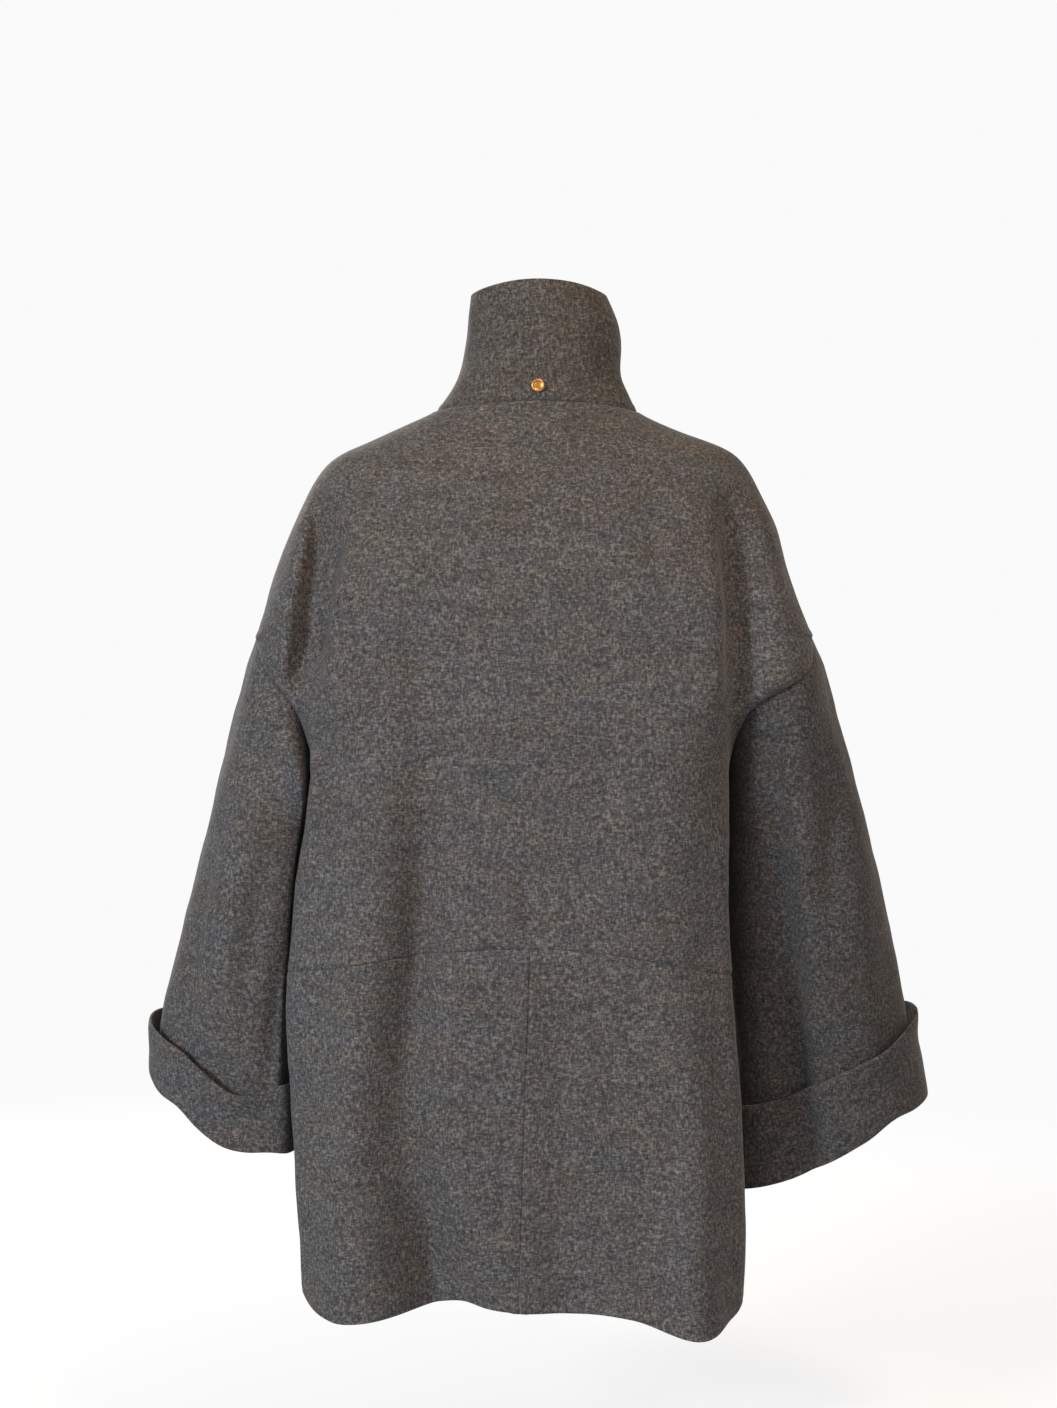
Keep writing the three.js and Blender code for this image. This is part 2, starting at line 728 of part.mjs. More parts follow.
// A closed wall between an outer and an inner grid of the same size. Rims are split from
// their higher outer point, so that two panels sewn together split theirs alike.
function wallGeometry(outer, inner, ring, seamGrid = outer) {
  const rows = outer.length;
  const columns = outer[0].length;
  const count = rows * columns;
  const indices = gridTriangles(rows, columns, ring);
  const back = gridTriangles(rows, columns, ring, count);
  for (let i = 0; i < back.length; i += 3) indices.push(back[i], back[i + 2], back[i + 1]);
  const places = seamGrid.flat();
  const rim = (a, b) => {
    if (places[a].z - places[b].z > 0) indices.push(a, b, b + count, a, b + count, a + count);
    else indices.push(a, b, a + count, b, b + count, a + count);
  };
  const wide = ring ? columns : columns - 1;
  for (let column = 0; column < wide; column += 1) {
    const next = (column + 1) % columns;
    rim(column, next);
    rim((rows - 1) * columns + next, (rows - 1) * columns + column);
  }
  for (let row = 0; row < rows - 1 && !ring; row += 1) {
    rim((row + 1) * columns, row * columns);
    rim(row * columns + columns - 1, (row + 1) * columns + columns - 1);
  }
  const geometry = new THREE.BufferGeometry();
  const points = [...outer.flat(), ...inner.flat()].flatMap((point) => point.toArray());
  geometry.setAttribute('position', new THREE.Float32BufferAttribute(points, 3));
  geometry.setIndex(indices);
  geometry.computeVertexNormals();
  return geometry;
}

function panelGeometry({ grid, ring, sewn }) {
  const outer = grid.map((line, row) =>
    line.map((point, column) => point.clone().add(seamPull(grid, ring, row, column, sewn))),
  );
  const inner = grid.map((line, row) =>
    line.map((point, column) => outer[row][column].clone().addScaledVector(normalAt(point), -CLOTH)),
  );
  return wallGeometry(outer, inner, ring, grid);
}

// ------------------------------------------------------------------------- cuffs

// A cuff is turned back over the sleeve's end: up the outside of the sleeve's last rows,
// round under its edge, and a short way up inside.
function cuffGeometry(side) {
  const { grid } = PANELS[`sleeve_${side}`];
  const last = grid.length - 1;
  const outside = grid.slice(last - SLEEVE_ROWS.cuff);
  const centre = CLOTH / 2;
  const near = centre + PLY_GAP;
  const ply = (distance) => {
    const outer = distance + CUFF.standOff;
    const rows = outside.map((line, row) => {
      const reach = row === 0 ? distance + CUFF.standOff / 2 : outer;
      return line.map((point) => point.clone().addScaledVector(normalAt(point), reach - centre));
    });
    for (const angle of [45, 90, 135, 180].map(THREE.MathUtils.degToRad)) {
      const across = angle < Math.PI / 2 ? outer : distance;
      rows.push(
        grid[last].map((point, column) => {
          const down = point.clone().sub(grid[last - 1][column]).normalize();
          return point
            .clone()
            .addScaledVector(normalAt(point), across * Math.cos(angle) - centre)
            .addScaledVector(down, distance * Math.sin(angle));
        }),
      );
    }
    rows.push(
      grid[last].map((point, column) => {
        const above = grid[last - 1][column];
        const place = point.clone().lerp(above, CUFF.inside);
        const normal = normalAt(point).clone().lerp(normalAt(above), CUFF.inside).normalize();
        return place.addScaledVector(normal, -distance - centre);
      }),
    );
    return rows;
  };
  return wallGeometry(ply(near + CLOTH), ply(near), true);
}

// -------------------------------------------------------------------------- stud

// Profile of the stud from the middle of its back to the middle of its face: distance
// from the axis as a part of the radius, and height as a part of the whole.
const STUD_PROFILE = [
  { out: 0, up: 0 },
  { out: 0.62, up: 0 },
  { out: 0.86, up: 0.18 },
  { out: 1, up: 0.5 },
  { out: 0.95, up: 0.8 },
  { out: 0.8, up: 1 },
  { out: 0.6, up: 0.9 },
  { out: 0.3, up: 0.72 },
  { out: 0, up: 0.66 },
];

// A round stud with a dished face on the collar at the centre back.
function studMesh() {
  const radius = STUD.diameter / 2;
  const profile = STUD_PROFILE.map(({ out, up }) => new THREE.Vector2(out * radius, up * STUD.height));
  const geometry = new THREE.LatheGeometry(profile, STUD.segments);
  const mesh = new THREE.Mesh(geometry, material(COLOURS.brass));
  const { outer, outward } = collarSpot(STUD.x, STUD.z);
  mesh.position.copy(outer).addScaledVector(outward, STUD.clear);
  mesh.quaternion.setFromUnitVectors(vector(0, 1, 0), outward);
  return mesh;
}

// The place on the collar's back at a given x and height, and the way out from it.
function collarSpot(x, z) {
  const { grid } = PANELS.collar;
  let best = null;
  for (let row = 0; row < grid.length - 1; row += 1) {
    for (let column = 0; column < grid[0].length - 1; column += 1) {
      const corners = [grid[row][column], grid[row + 1][column], grid[row + 1][column + 1]];
      const middle = vector(0, 0, 0);
      corners.forEach((point) => middle.addScaledVector(point, 1 / 3));
      const distance = Math.hypot(middle.x - x, middle.z - z);
      if (middle.y > 0 && (best === null || distance < best.distance)) {
        best = { distance, plane: new THREE.Plane().setFromCoplanarPoints(...corners) };
      }
    }
  }
  const outward = best.plane.normal.clone();
  const behind = 2 * COLLAR[0].back;
  const ray = new THREE.Ray(vector(x, behind, z), vector(0, -1, 0));
  const outer = ray.intersectPlane(best.plane, vector(0, 0, 0));
  return { outer, outward };
}

// ------------------------------------------------------------------------ the jacket

function material({ color, roughness, metalness }) {
  return new THREE.MeshStandardMaterial({ color, roughness, metalness });
}

const jacket = new THREE.Group();

for (const [name, panel] of Object.entries(PANELS)) {
  const mesh = new THREE.Mesh(panelGeometry(panel), material(panel.finish));
  mesh.name = name;
  jacket.add(mesh);
}

for (const side of ['left', 'right']) {
  const mesh = new THREE.Mesh(cuffGeometry(side), material(COLOURS.sleeveWool));
  mesh.name = `cuff_${side}`;
  jacket.add(mesh);
}

const stud = studMesh();
stud.name = 'neck_stud';
jacket.add(stud);

export default jacket;
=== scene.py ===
# %% [markdown]
# # A stand-collar wool jacket
# The jacket hangs as if somebody wore it. It is cut from one cloth, a thick fulled wool
# spun from dark, middle and pale fibres. The imported model gives every cut piece as a
# plain closed wall, and this lesson turns each wall into soft cloth: it is smoothed,
# creased, rounded at its edges, and given the wool's colour, nap and grain.

# %% Load the frame
import math
from collections import deque

import bmesh
import bpy
import numpy as np
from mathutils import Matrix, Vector
from mathutils.kdtree import KDTree
from mathutils.noise import noise as noise_at


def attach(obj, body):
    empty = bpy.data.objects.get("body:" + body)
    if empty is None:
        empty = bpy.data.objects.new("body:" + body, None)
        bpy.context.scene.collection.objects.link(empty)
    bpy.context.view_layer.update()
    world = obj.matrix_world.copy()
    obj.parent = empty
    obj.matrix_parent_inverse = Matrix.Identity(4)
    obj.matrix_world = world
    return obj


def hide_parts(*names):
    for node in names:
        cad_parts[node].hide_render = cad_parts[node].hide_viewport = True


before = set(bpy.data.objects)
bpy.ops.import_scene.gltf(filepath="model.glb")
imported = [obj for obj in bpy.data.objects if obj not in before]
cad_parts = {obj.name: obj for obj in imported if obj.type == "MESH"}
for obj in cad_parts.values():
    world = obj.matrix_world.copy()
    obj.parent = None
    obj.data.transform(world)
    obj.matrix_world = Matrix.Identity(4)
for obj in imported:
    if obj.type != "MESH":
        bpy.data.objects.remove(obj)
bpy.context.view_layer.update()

# %% [markdown]
# The camera stands behind the wearer, level with the middle of the back, so the back,
# the collar's stud and both turned-back cuffs are seen straight on. A long lens from a
# little over two metres keeps the shape free of distortion.

# %% Camera
CAMERA_PLACE = (0.001, 2.2, -0.269)
FRAME_WIDTH, LENS = 36, 62.5
camera = bpy.data.objects.new("camera", bpy.data.cameras.new("camera"))
bpy.context.scene.collection.objects.link(camera)
camera.data.sensor_width = FRAME_WIDTH
camera.data.lens = LENS
camera.location = CAMERA_PLACE
camera.rotation_euler = (math.radians(90), 0, math.radians(180))
bpy.context.scene.camera = camera
print("camera at", CAMERA_PLACE, "lens", LENS, "mm")

# %% [markdown]
# Wool looks best in a large soft light. A wide key light stands behind the wearer, high
# on the left, so the right sleeve falls into shade, and a weak one fills from the other
# side. A small warm lamp above browns the shoulders. Two more light the front for
# anybody who walks round.

# %% Lights
MIDDLE = (0.0, 0.0, -0.35)
SHOULDER_TOP = (-0.03, 0.1, -0.1)
COOL_LIGHT, LAMP_LIGHT = (0.95, 0.985, 1.0), (1.0, 0.66, 0.38)
SOFT_LIGHT, WARM_LIGHT = (1.0, 0.98, 0.96), (1.0, 0.95, 0.92)


def soft_light(name, place, target, size, watts, colour):
    data = bpy.data.lights.new(name, "AREA")
    data.shape = "DISK"
    data.size = size
    data.energy = watts
    data.color = colour
    light = bpy.data.objects.new(name, data)
    bpy.context.scene.collection.objects.link(light)
    light.location = place
    light.rotation_euler = (Vector(target) - Vector(place)).to_track_quat("-Z", "Y").to_euler()
    print("light", name, watts, "W")


soft_light("key", (3.8, 4.2, 1.0), MIDDLE, 1.5, 208, COOL_LIGHT)
soft_light("warm_top", (-0.5, 1.1, 1.5), SHOULDER_TOP, 0.7, 19, LAMP_LIGHT)
soft_light("fill", (-1.1, 3.2, 0.0), MIDDLE, 1.6, 15, WARM_LIGHT)
soft_light("front_key", (1.3, -2.6, 1.0), MIDDLE, 1.1, 58, SOFT_LIGHT)
soft_light("front_fill", (-1.6, -2.4, 0.2), MIDDLE, 1.6, 12, WARM_LIGHT)

# %% [markdown]
# The room is a pale even white. A room as bright as it looks would light the wool flat
# from every side, so the light path is asked what kind of ray arrives: the camera sees
# a white room, and all other rays get a dim one.

# %% The room
ROOM_LIGHT, ROOM_SEEN = (0.95, 0.975, 1.0, 1), (0.955, 0.955, 0.96, 1)
ROOM_STRENGTH = 0.27


def wire(tree, *pairs):
    """Join sockets two by two, each from an output to an input."""
    for output, socket in pairs:
        tree.links.new(output, socket)


def by_ray(tree, unseen, seen):
    """One shader for what lights the room, another for what the camera sees."""
    rays = tree.nodes.new("ShaderNodeLightPath")
    either = tree.nodes.new("ShaderNodeMixShader")
    wire(
        tree,
        (rays.outputs["Is Camera Ray"], either.inputs["Fac"]),
        (unseen, either.inputs[1]),
        (seen, either.inputs[2]),
    )
    return either.outputs[0]


world = bpy.data.worlds.new("pale_room")
bpy.context.scene.world = world
world.use_nodes = True
tree = world.node_tree
tree.nodes.clear()
room = tree.nodes.new("ShaderNodeBackground")
room.inputs["Color"].default_value = ROOM_LIGHT
room.inputs["Strength"].default_value = ROOM_STRENGTH
white = tree.nodes.new("ShaderNodeBackground")
white.inputs["Color"].default_value = ROOM_SEEN
out = tree.nodes.new("ShaderNodeOutputWorld")
wire(tree, (by_ray(tree, room.outputs[0], white.outputs[0]), out.inputs["Surface"]))
print("room lights with", ROOM_STRENGTH, "of the white it shows")

# %% [markdown]
# The floor lies a hand's length below the hem, a sheet of pale paper that takes soft
# shadows. It glows faintly, but for the camera only, so that it is as white as the
# room, and it fades to nothing further out. So no line shows where the two meet.

# %% The floor
FLOOR, FLOOR_SIZE = -0.95, 12
PAPER, PAPER_ROUGHNESS, PAPER_GLOW = (0.5, 0.5, 0.505, 1), 0.9, 0.525
FADE_FROM, FADE_TO = 0.6, 2.4

bm = bmesh.new()
bmesh.ops.create_grid(bm, x_segments=1, y_segments=1, size=FLOOR_SIZE)
bmesh.ops.translate(bm, verts=bm.verts, vec=(0, 0, FLOOR))
floor_mesh = bpy.data.meshes.new("floor")
bm.to_mesh(floor_mesh)
bm.free()
floor = bpy.data.objects.new("floor", floor_mesh)
bpy.context.scene.collection.objects.link(floor)

paper = bpy.data.materials.new("pale_paper")
paper.use_nodes = True
tree = paper.node_tree
matt = tree.nodes["Principled BSDF"]
matt.inputs["Base Color"].default_value = PAPER
matt.inputs["Roughness"].default_value = PAPER_ROUGHNESS
glow = tree.nodes.new("ShaderNodeEmission")
glow.inputs["Color"].default_value = (1, 1, 1, 1)
glow.inputs["Strength"].default_value = PAPER_GLOW
dark = tree.nodes.new("ShaderNodeEmission")
dark.inputs["Strength"].default_value = 0
both = tree.nodes.new("ShaderNodeAddShader")
clear = tree.nodes.new("ShaderNodeBsdfTransparent")
fade = tree.nodes.new("ShaderNodeMixShader")
spot = tree.nodes.new("ShaderNodeTexCoord")
radius = tree.nodes.new("ShaderNodeVectorMath")
radius.operation = "DISTANCE"
radius.inputs[1].default_value = (0, 0, FLOOR)
edge = tree.nodes.new("ShaderNodeMapRange")
edge.interpolation_type = "SMOOTHSTEP"
edge.inputs["From Min"].default_value = FADE_FROM
edge.inputs["From Max"].default_value = FADE_TO
wire(
    tree,
    (matt.outputs[0], both.inputs[0]),
    (by_ray(tree, dark.outputs[0], glow.outputs[0]), both.inputs[1]),
    (spot.outputs["Object"], radius.inputs[0]),
    (radius.outputs["Value"], edge.inputs["Value"]),
    (edge.outputs["Result"], fade.inputs["Fac"]),
    (both.outputs[0], fade.inputs[1]),
    (clear.outputs[0], fade.inputs[2]),
    (fade.outputs[0], tree.nodes["Material Output"].inputs["Surface"]),
)
floor_mesh.materials.append(paper)
bpy.context.scene.view_settings.view_transform = "Standard"

# %% [markdown]
# Close up, the wool is a salt-and-pepper mix: short strokes of dark, middle and pale
# yarn, a few millimetres long, that cross each other. Further off they blend to a warm
# grey, with faint patches that lean to brown or to blue, and slubs where a yarn runs
# thicker or thinner. A picture of cloth could be wrapped round each piece, but it would
# stretch wherever the cloth turns. Noise in the object's own space stays put from every
# side, and runs over the seams as one bolt of cloth does.

# %% The yarns
DARK_YARN = (0.0415, 0.0415, 0.0455)
MIDDLE_YARN = (0.089, 0.089, 0.0925)
PALE_YARN = (0.203, 0.201, 0.197)
ALL_DARK, ALL_MIDDLE, ALL_PALE = 0.40, 0.505, 0.62
WARM, COOL = (1.085, 1.0, 0.915), (0.925, 0.99, 1.07)
ROSE, MOSS = (1.04, 0.96, 1.03), (0.98, 1.02, 0.94)
THIN, THICK = (0.88, 0.88, 0.88), (1.12, 1.12, 1.12)
PATCH_GAIN, FLECK_GAIN, SLUB_GAIN = 2.2, 2.4, 2.0
# How far each noise is squeezed along x, y and z, then its scale, detail and roughness.
NOISES = {
    "warp": ((1.0, 1.0, 0.42), 620, 2.0, 0.55),
    "weft": ((0.38, 0.38, 1.0), 660, 2.0, 0.55),
    "nap": ((1.0, 1.0, 1.0), 300, 3.0, 0.65),
    "patches": ((0.45, 0.45, 1.0), 36, 3.0, 0.7),
    "flecks": ((0.6, 0.6, 1.0), 170, 2.0, 0.6),
    "slubs": ((0.17, 0.17, 1.0), 120, 2.0, 0.6),
}
STROKES = {"warp": 0.38, "weft": 0.38, "nap": 0.24}
print("strokes are about", round(1000 / NOISES["warp"][1] / NOISES["warp"][0][2], 1), "mm long")

# %% [markdown]
# The same strokes raise the surface a little, and a sheen gives the nap. Each piece is
# cut with its own grain. Two tints are not of the cloth itself and stand in for the
# light on it: the shoulders and collar lean to brown, as if a warm lamp hung above, and
# the right sleeve and its cuff are deeper, as if they lay wholly in the shade.

# %% The wool
SHOULDERS, BROWN_FROM, BROWN_TO = (0.91, 0.865, 0.79), -0.19, 0.03
FELT_STRENGTH, FELT_HEIGHT = 0.7, 0.0009
WOOL_SURFACE = {
    "Roughness": 0.93,
    "Specular IOR Level": 0.18,
    "Sheen Weight": 0.22,
    "Sheen Roughness": 0.45,
    "Sheen Tint": (0.62, 0.6, 0.58, 1),
}


def wool(name, lean=0.0, depth=1.0):
    """A wool whose grain leans by some degrees and whose yarns are darkened by some depth; on the right
    sleeve and its cuff that darkening is painted shade.
    """
    material = bpy.data.materials.new(name)
    material.use_nodes = True
    tree = material.node_tree
    shader = tree.nodes["Principled BSDF"]
    node = tree.nodes.new
    place = node("ShaderNodeTexCoord")

    def feed(socket, value):
        if isinstance(value, (int, float)):
            socket.default_value = value
        elif isinstance(value, tuple):
            socket.default_value = (*value, 1)
        else:
            wire(tree, (value, socket))

    def noise(label):
        squeeze, scale, detail, roughness = NOISES[label]
        mapping = node("ShaderNodeMapping")
        mapping.label = label
        mapping.inputs["Rotation"].default_value = (0, math.radians(lean), 0)
        mapping.inputs["Scale"].default_value = squeeze
        field = node("ShaderNodeTexNoise")
        field.inputs["Scale"].default_value = scale
        field.inputs["Detail"].default_value = detail
        field.inputs["Roughness"].default_value = roughness
        wire(
            tree,
            (place.outputs["Object"], mapping.inputs["Vector"]),
            (mapping.outputs["Vector"], field.inputs["Vector"]),
        )
        return field.outputs["Fac"]

    def sums(operation, first, second):
        maths = node("ShaderNodeMath")
        maths.operation = operation
        feed(maths.inputs[0], first)
        feed(maths.inputs[1], second)
        return maths.outputs[0]

    def blend(mode, factor, first, second):
        mix = node("ShaderNodeMix")
        mix.data_type = "RGBA"
        mix.blend_type = mode
        for socket, value in zip((mix.inputs[0], *mix.inputs[6:8]), (factor, first, second)):
            feed(socket, value)
        return mix.outputs[2]

    def spread(value, gain):
        """Stretch a noise about its middle, so that it uses all of a mix."""
        return sums("ADD", sums("MULTIPLY", value, gain), 0.5 - gain / 2)

    strokes = sums("MULTIPLY", noise("warp"), STROKES["warp"])
    for label in ("weft", "nap"):
        strokes = sums("ADD", strokes, sums("MULTIPLY", noise(label), STROKES[label]))

    ramp = node("ShaderNodeValToRGB")
    wire(tree, (strokes, ramp.inputs["Fac"]))
    dark, pale = ramp.color_ramp.elements
    dark.position, pale.position = ALL_DARK, ALL_PALE
    dark.color = (*[c * depth for c in DARK_YARN], 1)
    pale.color = (*[c * depth for c in PALE_YARN], 1)
    ramp.color_ramp.elements.new(ALL_MIDDLE).color = (*[c * depth for c in MIDDLE_YARN], 1)

    tint = blend("MIX", spread(noise("patches"), PATCH_GAIN), COOL, WARM)
    tint = blend("MULTIPLY", 1.0, tint, blend("MIX", spread(noise("flecks"), FLECK_GAIN), ROSE, MOSS))
    slubs = blend("MIX", spread(noise("slubs"), SLUB_GAIN), THIN, THICK)
    colour = blend("MULTIPLY", 1.0, ramp.outputs["Color"], tint)
    colour = blend("MULTIPLY", 1.0, colour, slubs)

    parts = node("ShaderNodeSeparateXYZ")
    high = node("ShaderNodeMapRange")
    high.inputs["From Min"].default_value = BROWN_FROM
    high.inputs["From Max"].default_value = BROWN_TO
    wire(
        tree,
        (place.outputs["Object"], parts.inputs["Vector"]),
        (parts.outputs["Z"], high.inputs["Value"]),
    )
    colour = blend("MULTIPLY", high.outputs["Result"], colour, SHOULDERS)

    bump = node("ShaderNodeBump")
    bump.inputs["Strength"].default_value = FELT_STRENGTH
    bump.inputs["Distance"].default_value = FELT_HEIGHT
    wire(
        tree,
        (strokes, bump.inputs["Height"]),
        (bump.outputs["Normal"], shader.inputs["Normal"]),
        (colour, shader.inputs["Base Color"]),
    )
    for socket, value in WOOL_SURFACE.items():
        shader.inputs[socket].default_value = value
    print("wool", name, "grain leans", lean, "degrees")
    return material


BODY_WOOL = wool("wool_body")
COLLAR_WOOL = wool("wool_stand_collar", 0, 0.95)
LEFT_SLEEVE_WOOL = wool("wool_left_sleeve", -13, 0.97)
# The right sleeve (0.74) and the right cuff (0.76) are darkened as painted shade, as if they lay in the
# body's shadow.
RIGHT_SLEEVE_WOOL = wool("wool_right_sleeve", 13, 0.74)
LEFT_CUFF_WOOL = wool("wool_left_cuff", 32, 0.95)
RIGHT_CUFF_WOOL = wool("wool_right_cuff", -28, 0.76)

# %% [markdown]
# A packed wall is a grid of small rectangles, each split into two triangles. Smoothing
# works best on the rectangles, so the splits are taken out again. At the rims they are
# easy to tell, because the edges that cross the cloth are as long as it is thick. On
# the faces all splits run the same way, so once one is known the others follow: across
# any other edge, the next split starts from the edge's far end.

# %% Take the splits out of a wall
CLOTH = 0.0024
TOUCH = 0.00002
RIM_FACE = 1
CORNER = math.radians(40)


def splits_from(start, first, lines):
    """The split of every triangle on one face, if the first triangle's is as given."""
    split = {start: first}
    queue = deque([start])
    while queue:
        face = queue.popleft()
        for edge in face.edges:
            if edge in lines:
                continue
            other = next(f for f in edge.link_faces if f != face)
            if other in split:
                continue
            if edge == split[face]:
                split[other] = edge
            else:
                far = next(v for v in edge.verts if v not in split[face].verts)
                split[other] = next(e for e in other.edges if e != edge and far in e.verts)
            queue.append(other)
    return split


def wall_of(node):
    """The node's wall as a grid of rectangles, with its rim lines and crossing edges."""
    bm = bmesh.new()
    bm.from_mesh(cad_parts[node].data)
    bmesh.ops.remove_doubles(bm, verts=bm.verts, dist=TOUCH)
    sharp = bm.edges.layers.float.new("crease_edge")
    bm.verts.layers.float.new("crease_vert")
    across = {e for e in bm.edges if abs(e.calc_length() - CLOTH) < 2 * TOUCH}
    rims = {f for f in bm.faces if any(e in across for e in f.edges)}
    lines = {e for e in bm.edges if len({f in rims for f in e.link_faces}) == 2}
    extra = {e for e in bm.edges if e not in across and all(f in rims for f in e.link_faces)}
    left = set(bm.faces) - rims
    while left:
        start = next(f for f in left if any(e in lines for e in f.edges))
        ways = [splits_from(start, e, lines) for e in start.edges if e not in lines]
        ways = [way for way in ways if not any(e in lines for e in way.values())]
        best = max(ways, key=lambda way: sum(e.calc_length() for e in set(way.values())))
        extra |= set(best.values())
        left -= set(best)
    for face in rims:
        face.material_index = RIM_FACE
    bmesh.ops.dissolve_edges(bm, edges=list(extra), use_verts=False)
    corners = {e for e in across if e.is_valid and e.calc_face_angle(0) > CORNER}
    for edge in lines | corners:
        edge[sharp] = 1.0
    odd = sum(len(f.verts) != 4 for f in bm.faces)
    print(f"{node}: {len(bm.faces)} rectangles, {odd} odd,", end=" ")
    print(f"{len(lines)} rim edges, {len(corners)} corners")
    return bm, lines


CLOTH_PIECES = [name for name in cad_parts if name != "neck_stud"]
walls = {name: wall_of(name) for name in CLOTH_PIECES}

# %% [markdown]
# Where three pieces are sewn together at one point, each has other neighbours, and
# smoothing would pull them apart. These knots are therefore held still. They are found
# by looking which rims of three pieces come within half a millimetre of each other.

# %% Find the knots where three pieces meet
NEAR = 0.00055
NOWHERE = Vector((9, 9, 9))


def tree_of(points):
    tree = KDTree(len(points))
    for index, point in enumerate(points):
        tree.insert(point, index)
    tree.balance()
    return tree


rim_points = {}
for name, (bm, lines) in walls.items():
    rim_points[name] = [v.co.copy() for v in {v for e in lines for v in e.verts}]
rim_trees = {name: tree_of(points) for name, points in rim_points.items()}


def partners(name, point):
    """How many other pieces have their rim at a point."""
    return sum(tree.find(point)[2] < NEAR for other, tree in rim_trees.items() if other != name)


knots = {}
for name, points in rim_points.items():
    met = [partners(name, point) for point in points]
    found = [point for point, count in zip(points, met) if count > 1]
    knots[name] = tree_of(found or [NOWHERE])
    print(name, len(found), "knots,", sum(count > 0 for count in met), "seam points")

# %% [markdown]
# Now each wall is smoothed with a subdivision surface. The rims keep their line because
# they are creased, corners and knots keep their place, and three rounds of smoothing
# leave steps of about two millimetres, fine enough for small creases. Smoothing alone
# would shrink every wave, so the grid is first swollen a little, in a few passes, until
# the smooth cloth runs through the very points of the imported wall.

# %% Smooth the walls
ROUNDS = 3
SWELLS = 5


def smoothed(piece):
    bpy.context.view_layer.update()
    depsgraph = bpy.context.evaluated_depsgraph_get()
    return bpy.data.meshes.new_from_object(piece.evaluated_get(depsgraph))


def places(mesh):
    """Where all the points of a mesh are, one row to a point."""
    flat = np.empty(3 * len(mesh.vertices))
    mesh.vertices.foreach_get("co", flat)
    return flat.reshape(-1, 3)


def put(mesh, points):
    mesh.vertices.foreach_set("co", points.ravel())
    mesh.update()


def smooth_wall(name):
    bm, lines = walls[name]
    held = bm.verts.layers.float["crease_vert"]
    for vert in {v for e in lines for v in e.verts}:
        if knots[name].find(vert.co)[2] < TOUCH:
            vert[held] = 1.0
    grid = bpy.data.meshes.new(name + "_grid")
    bm.to_mesh(grid)
    bm.free()
    piece = bpy.data.objects.new(name + "_cloth", grid)
    bpy.context.scene.collection.objects.link(piece)
    smooth = piece.modifiers.new("smooth", "SUBSURF")
    smooth.levels = 1
    target = places(grid)
    for _ in range(SWELLS):
        reached = smoothed(piece)
        miss = target - places(reached)[: len(target)]
        put(grid, places(grid) + miss)
        bpy.data.meshes.remove(reached)
    smooth.levels = ROUNDS
    fine = smoothed(piece)
    piece.modifiers.clear()
    piece.data = fine
    bpy.data.meshes.remove(grid)
    fine.name = name + "_cloth"
    off = round(1000 * np.abs(miss).max(), 2)
    print(name, len(fine.vertices), "points, off by", off, "mm at most")
    return piece


cloth = {name: smooth_wall(name) for name in CLOTH_PIECES}

# %% [markdown]
# Before anything is moved, the rims are noted: which points of each wall lie on its rim,
# how deep below the face of the cloth each lies, and which of them are sewn, because
# another piece's rim is right beside them. The armhole and neck seams join pieces that
# are creased by different rules, so every crease dies away towards those two seams.

# %% Note the rims and the seams
BESIDE = 0.0009


def distance_to(some, points, reach):
    """How far each point is from the nearest of some others, at most as far as it reaches."""
    cells = np.unique(np.floor(some / reach).astype(int), axis=0)
    steps = np.array([(a, b, c) for a in (-1, 0, 1) for b in (-1, 0, 1) for c in (-1, 0, 1)])
    near = set(map(tuple, (cells[:, None] + steps).reshape(-1, 3).tolist()))
    nearest = tree_of(some)
    away = np.full(len(points), reach)
    for index, cell in enumerate(map(tuple, np.floor(points / reach).astype(int).tolist())):
        if cell in near:
            away[index] = min(reach, nearest.find(points[index])[2])
    return away


def faces_of(mesh):
    """The corners of every rectangle, and whether it is part of the rim."""
    corners = np.empty(len(mesh.loops), dtype=int)
    mesh.loops.foreach_get("vertex_index", corners)
    kind = np.empty(len(mesh.polygons), dtype=int)
    mesh.polygons.foreach_get("material_index", kind)
    return corners.reshape(-1, 4), kind == RIM_FACE


def note_rim(mesh):
    """The points on a wall's rim, and how deep each lies below the face of the cloth."""
    corners, is_rim = faces_of(mesh)
    on_rim = np.unique(corners[is_rim])
    lines = np.intersect1d(on_rim, np.unique(corners[~is_rim]))
    points = places(mesh)
    nearest = tree_of(points[lines])
    depth = np.array([nearest.find(point)[2] for point in points[on_rim]])
    return on_rim, depth


rims = {name: note_rim(piece.data) for name, piece in cloth.items()}
rim_trees = {name: tree_of(places(cloth[name].data)[rims[name][0]]) for name in cloth}
sewn = {}
for name, piece in cloth.items():
    points = places(piece.data)
    sewn[name] = {}
    others = {other: tree for other, tree in rim_trees.items() if other != name}
    for index in rims[name][0]:
        gap, other = min((tree.find(points[index])[2], other) for other, tree in others.items())
        if gap < BESIDE:
            sewn[name][int(index)] = other
    print(name, len(rims[name][0]), "rim points,", len(sewn[name]), "sewn")



def sewn_to_body(name):
    joined = [index for index, other in sewn[name].items() if other.startswith(("back", "front"))]
    return places(cloth[name].data)[joined]


FAMILY_SEAMS = np.vstack([sewn_to_body(name) for name in ("sleeve_left", "sleeve_right", "collar")])
print(len(FAMILY_SEAMS), "points on the armhole and neck seams")

# %% [markdown]
# A heavy coat shows few creases, but they are what makes it cloth. Each one is laid as
# a soft trough or ridge along a line on the back or the front. It has a depth,
# and a width on either side of the line, so that a fold can be crisp on one side and
# soft on the other. All body pieces are moved by one rule, so their seams stay closed.

# %% A rule for folds
CURVE_STEPS = 8
REACH = 2.6


def ease(low, high, value):
    t = np.clip((value - low) / (high - low), 0, 1)
    return t * t * (3 - 2 * t)


def unit(vectors):
    return vectors / np.maximum(np.linalg.norm(vectors, axis=1, keepdims=True), 1e-9)


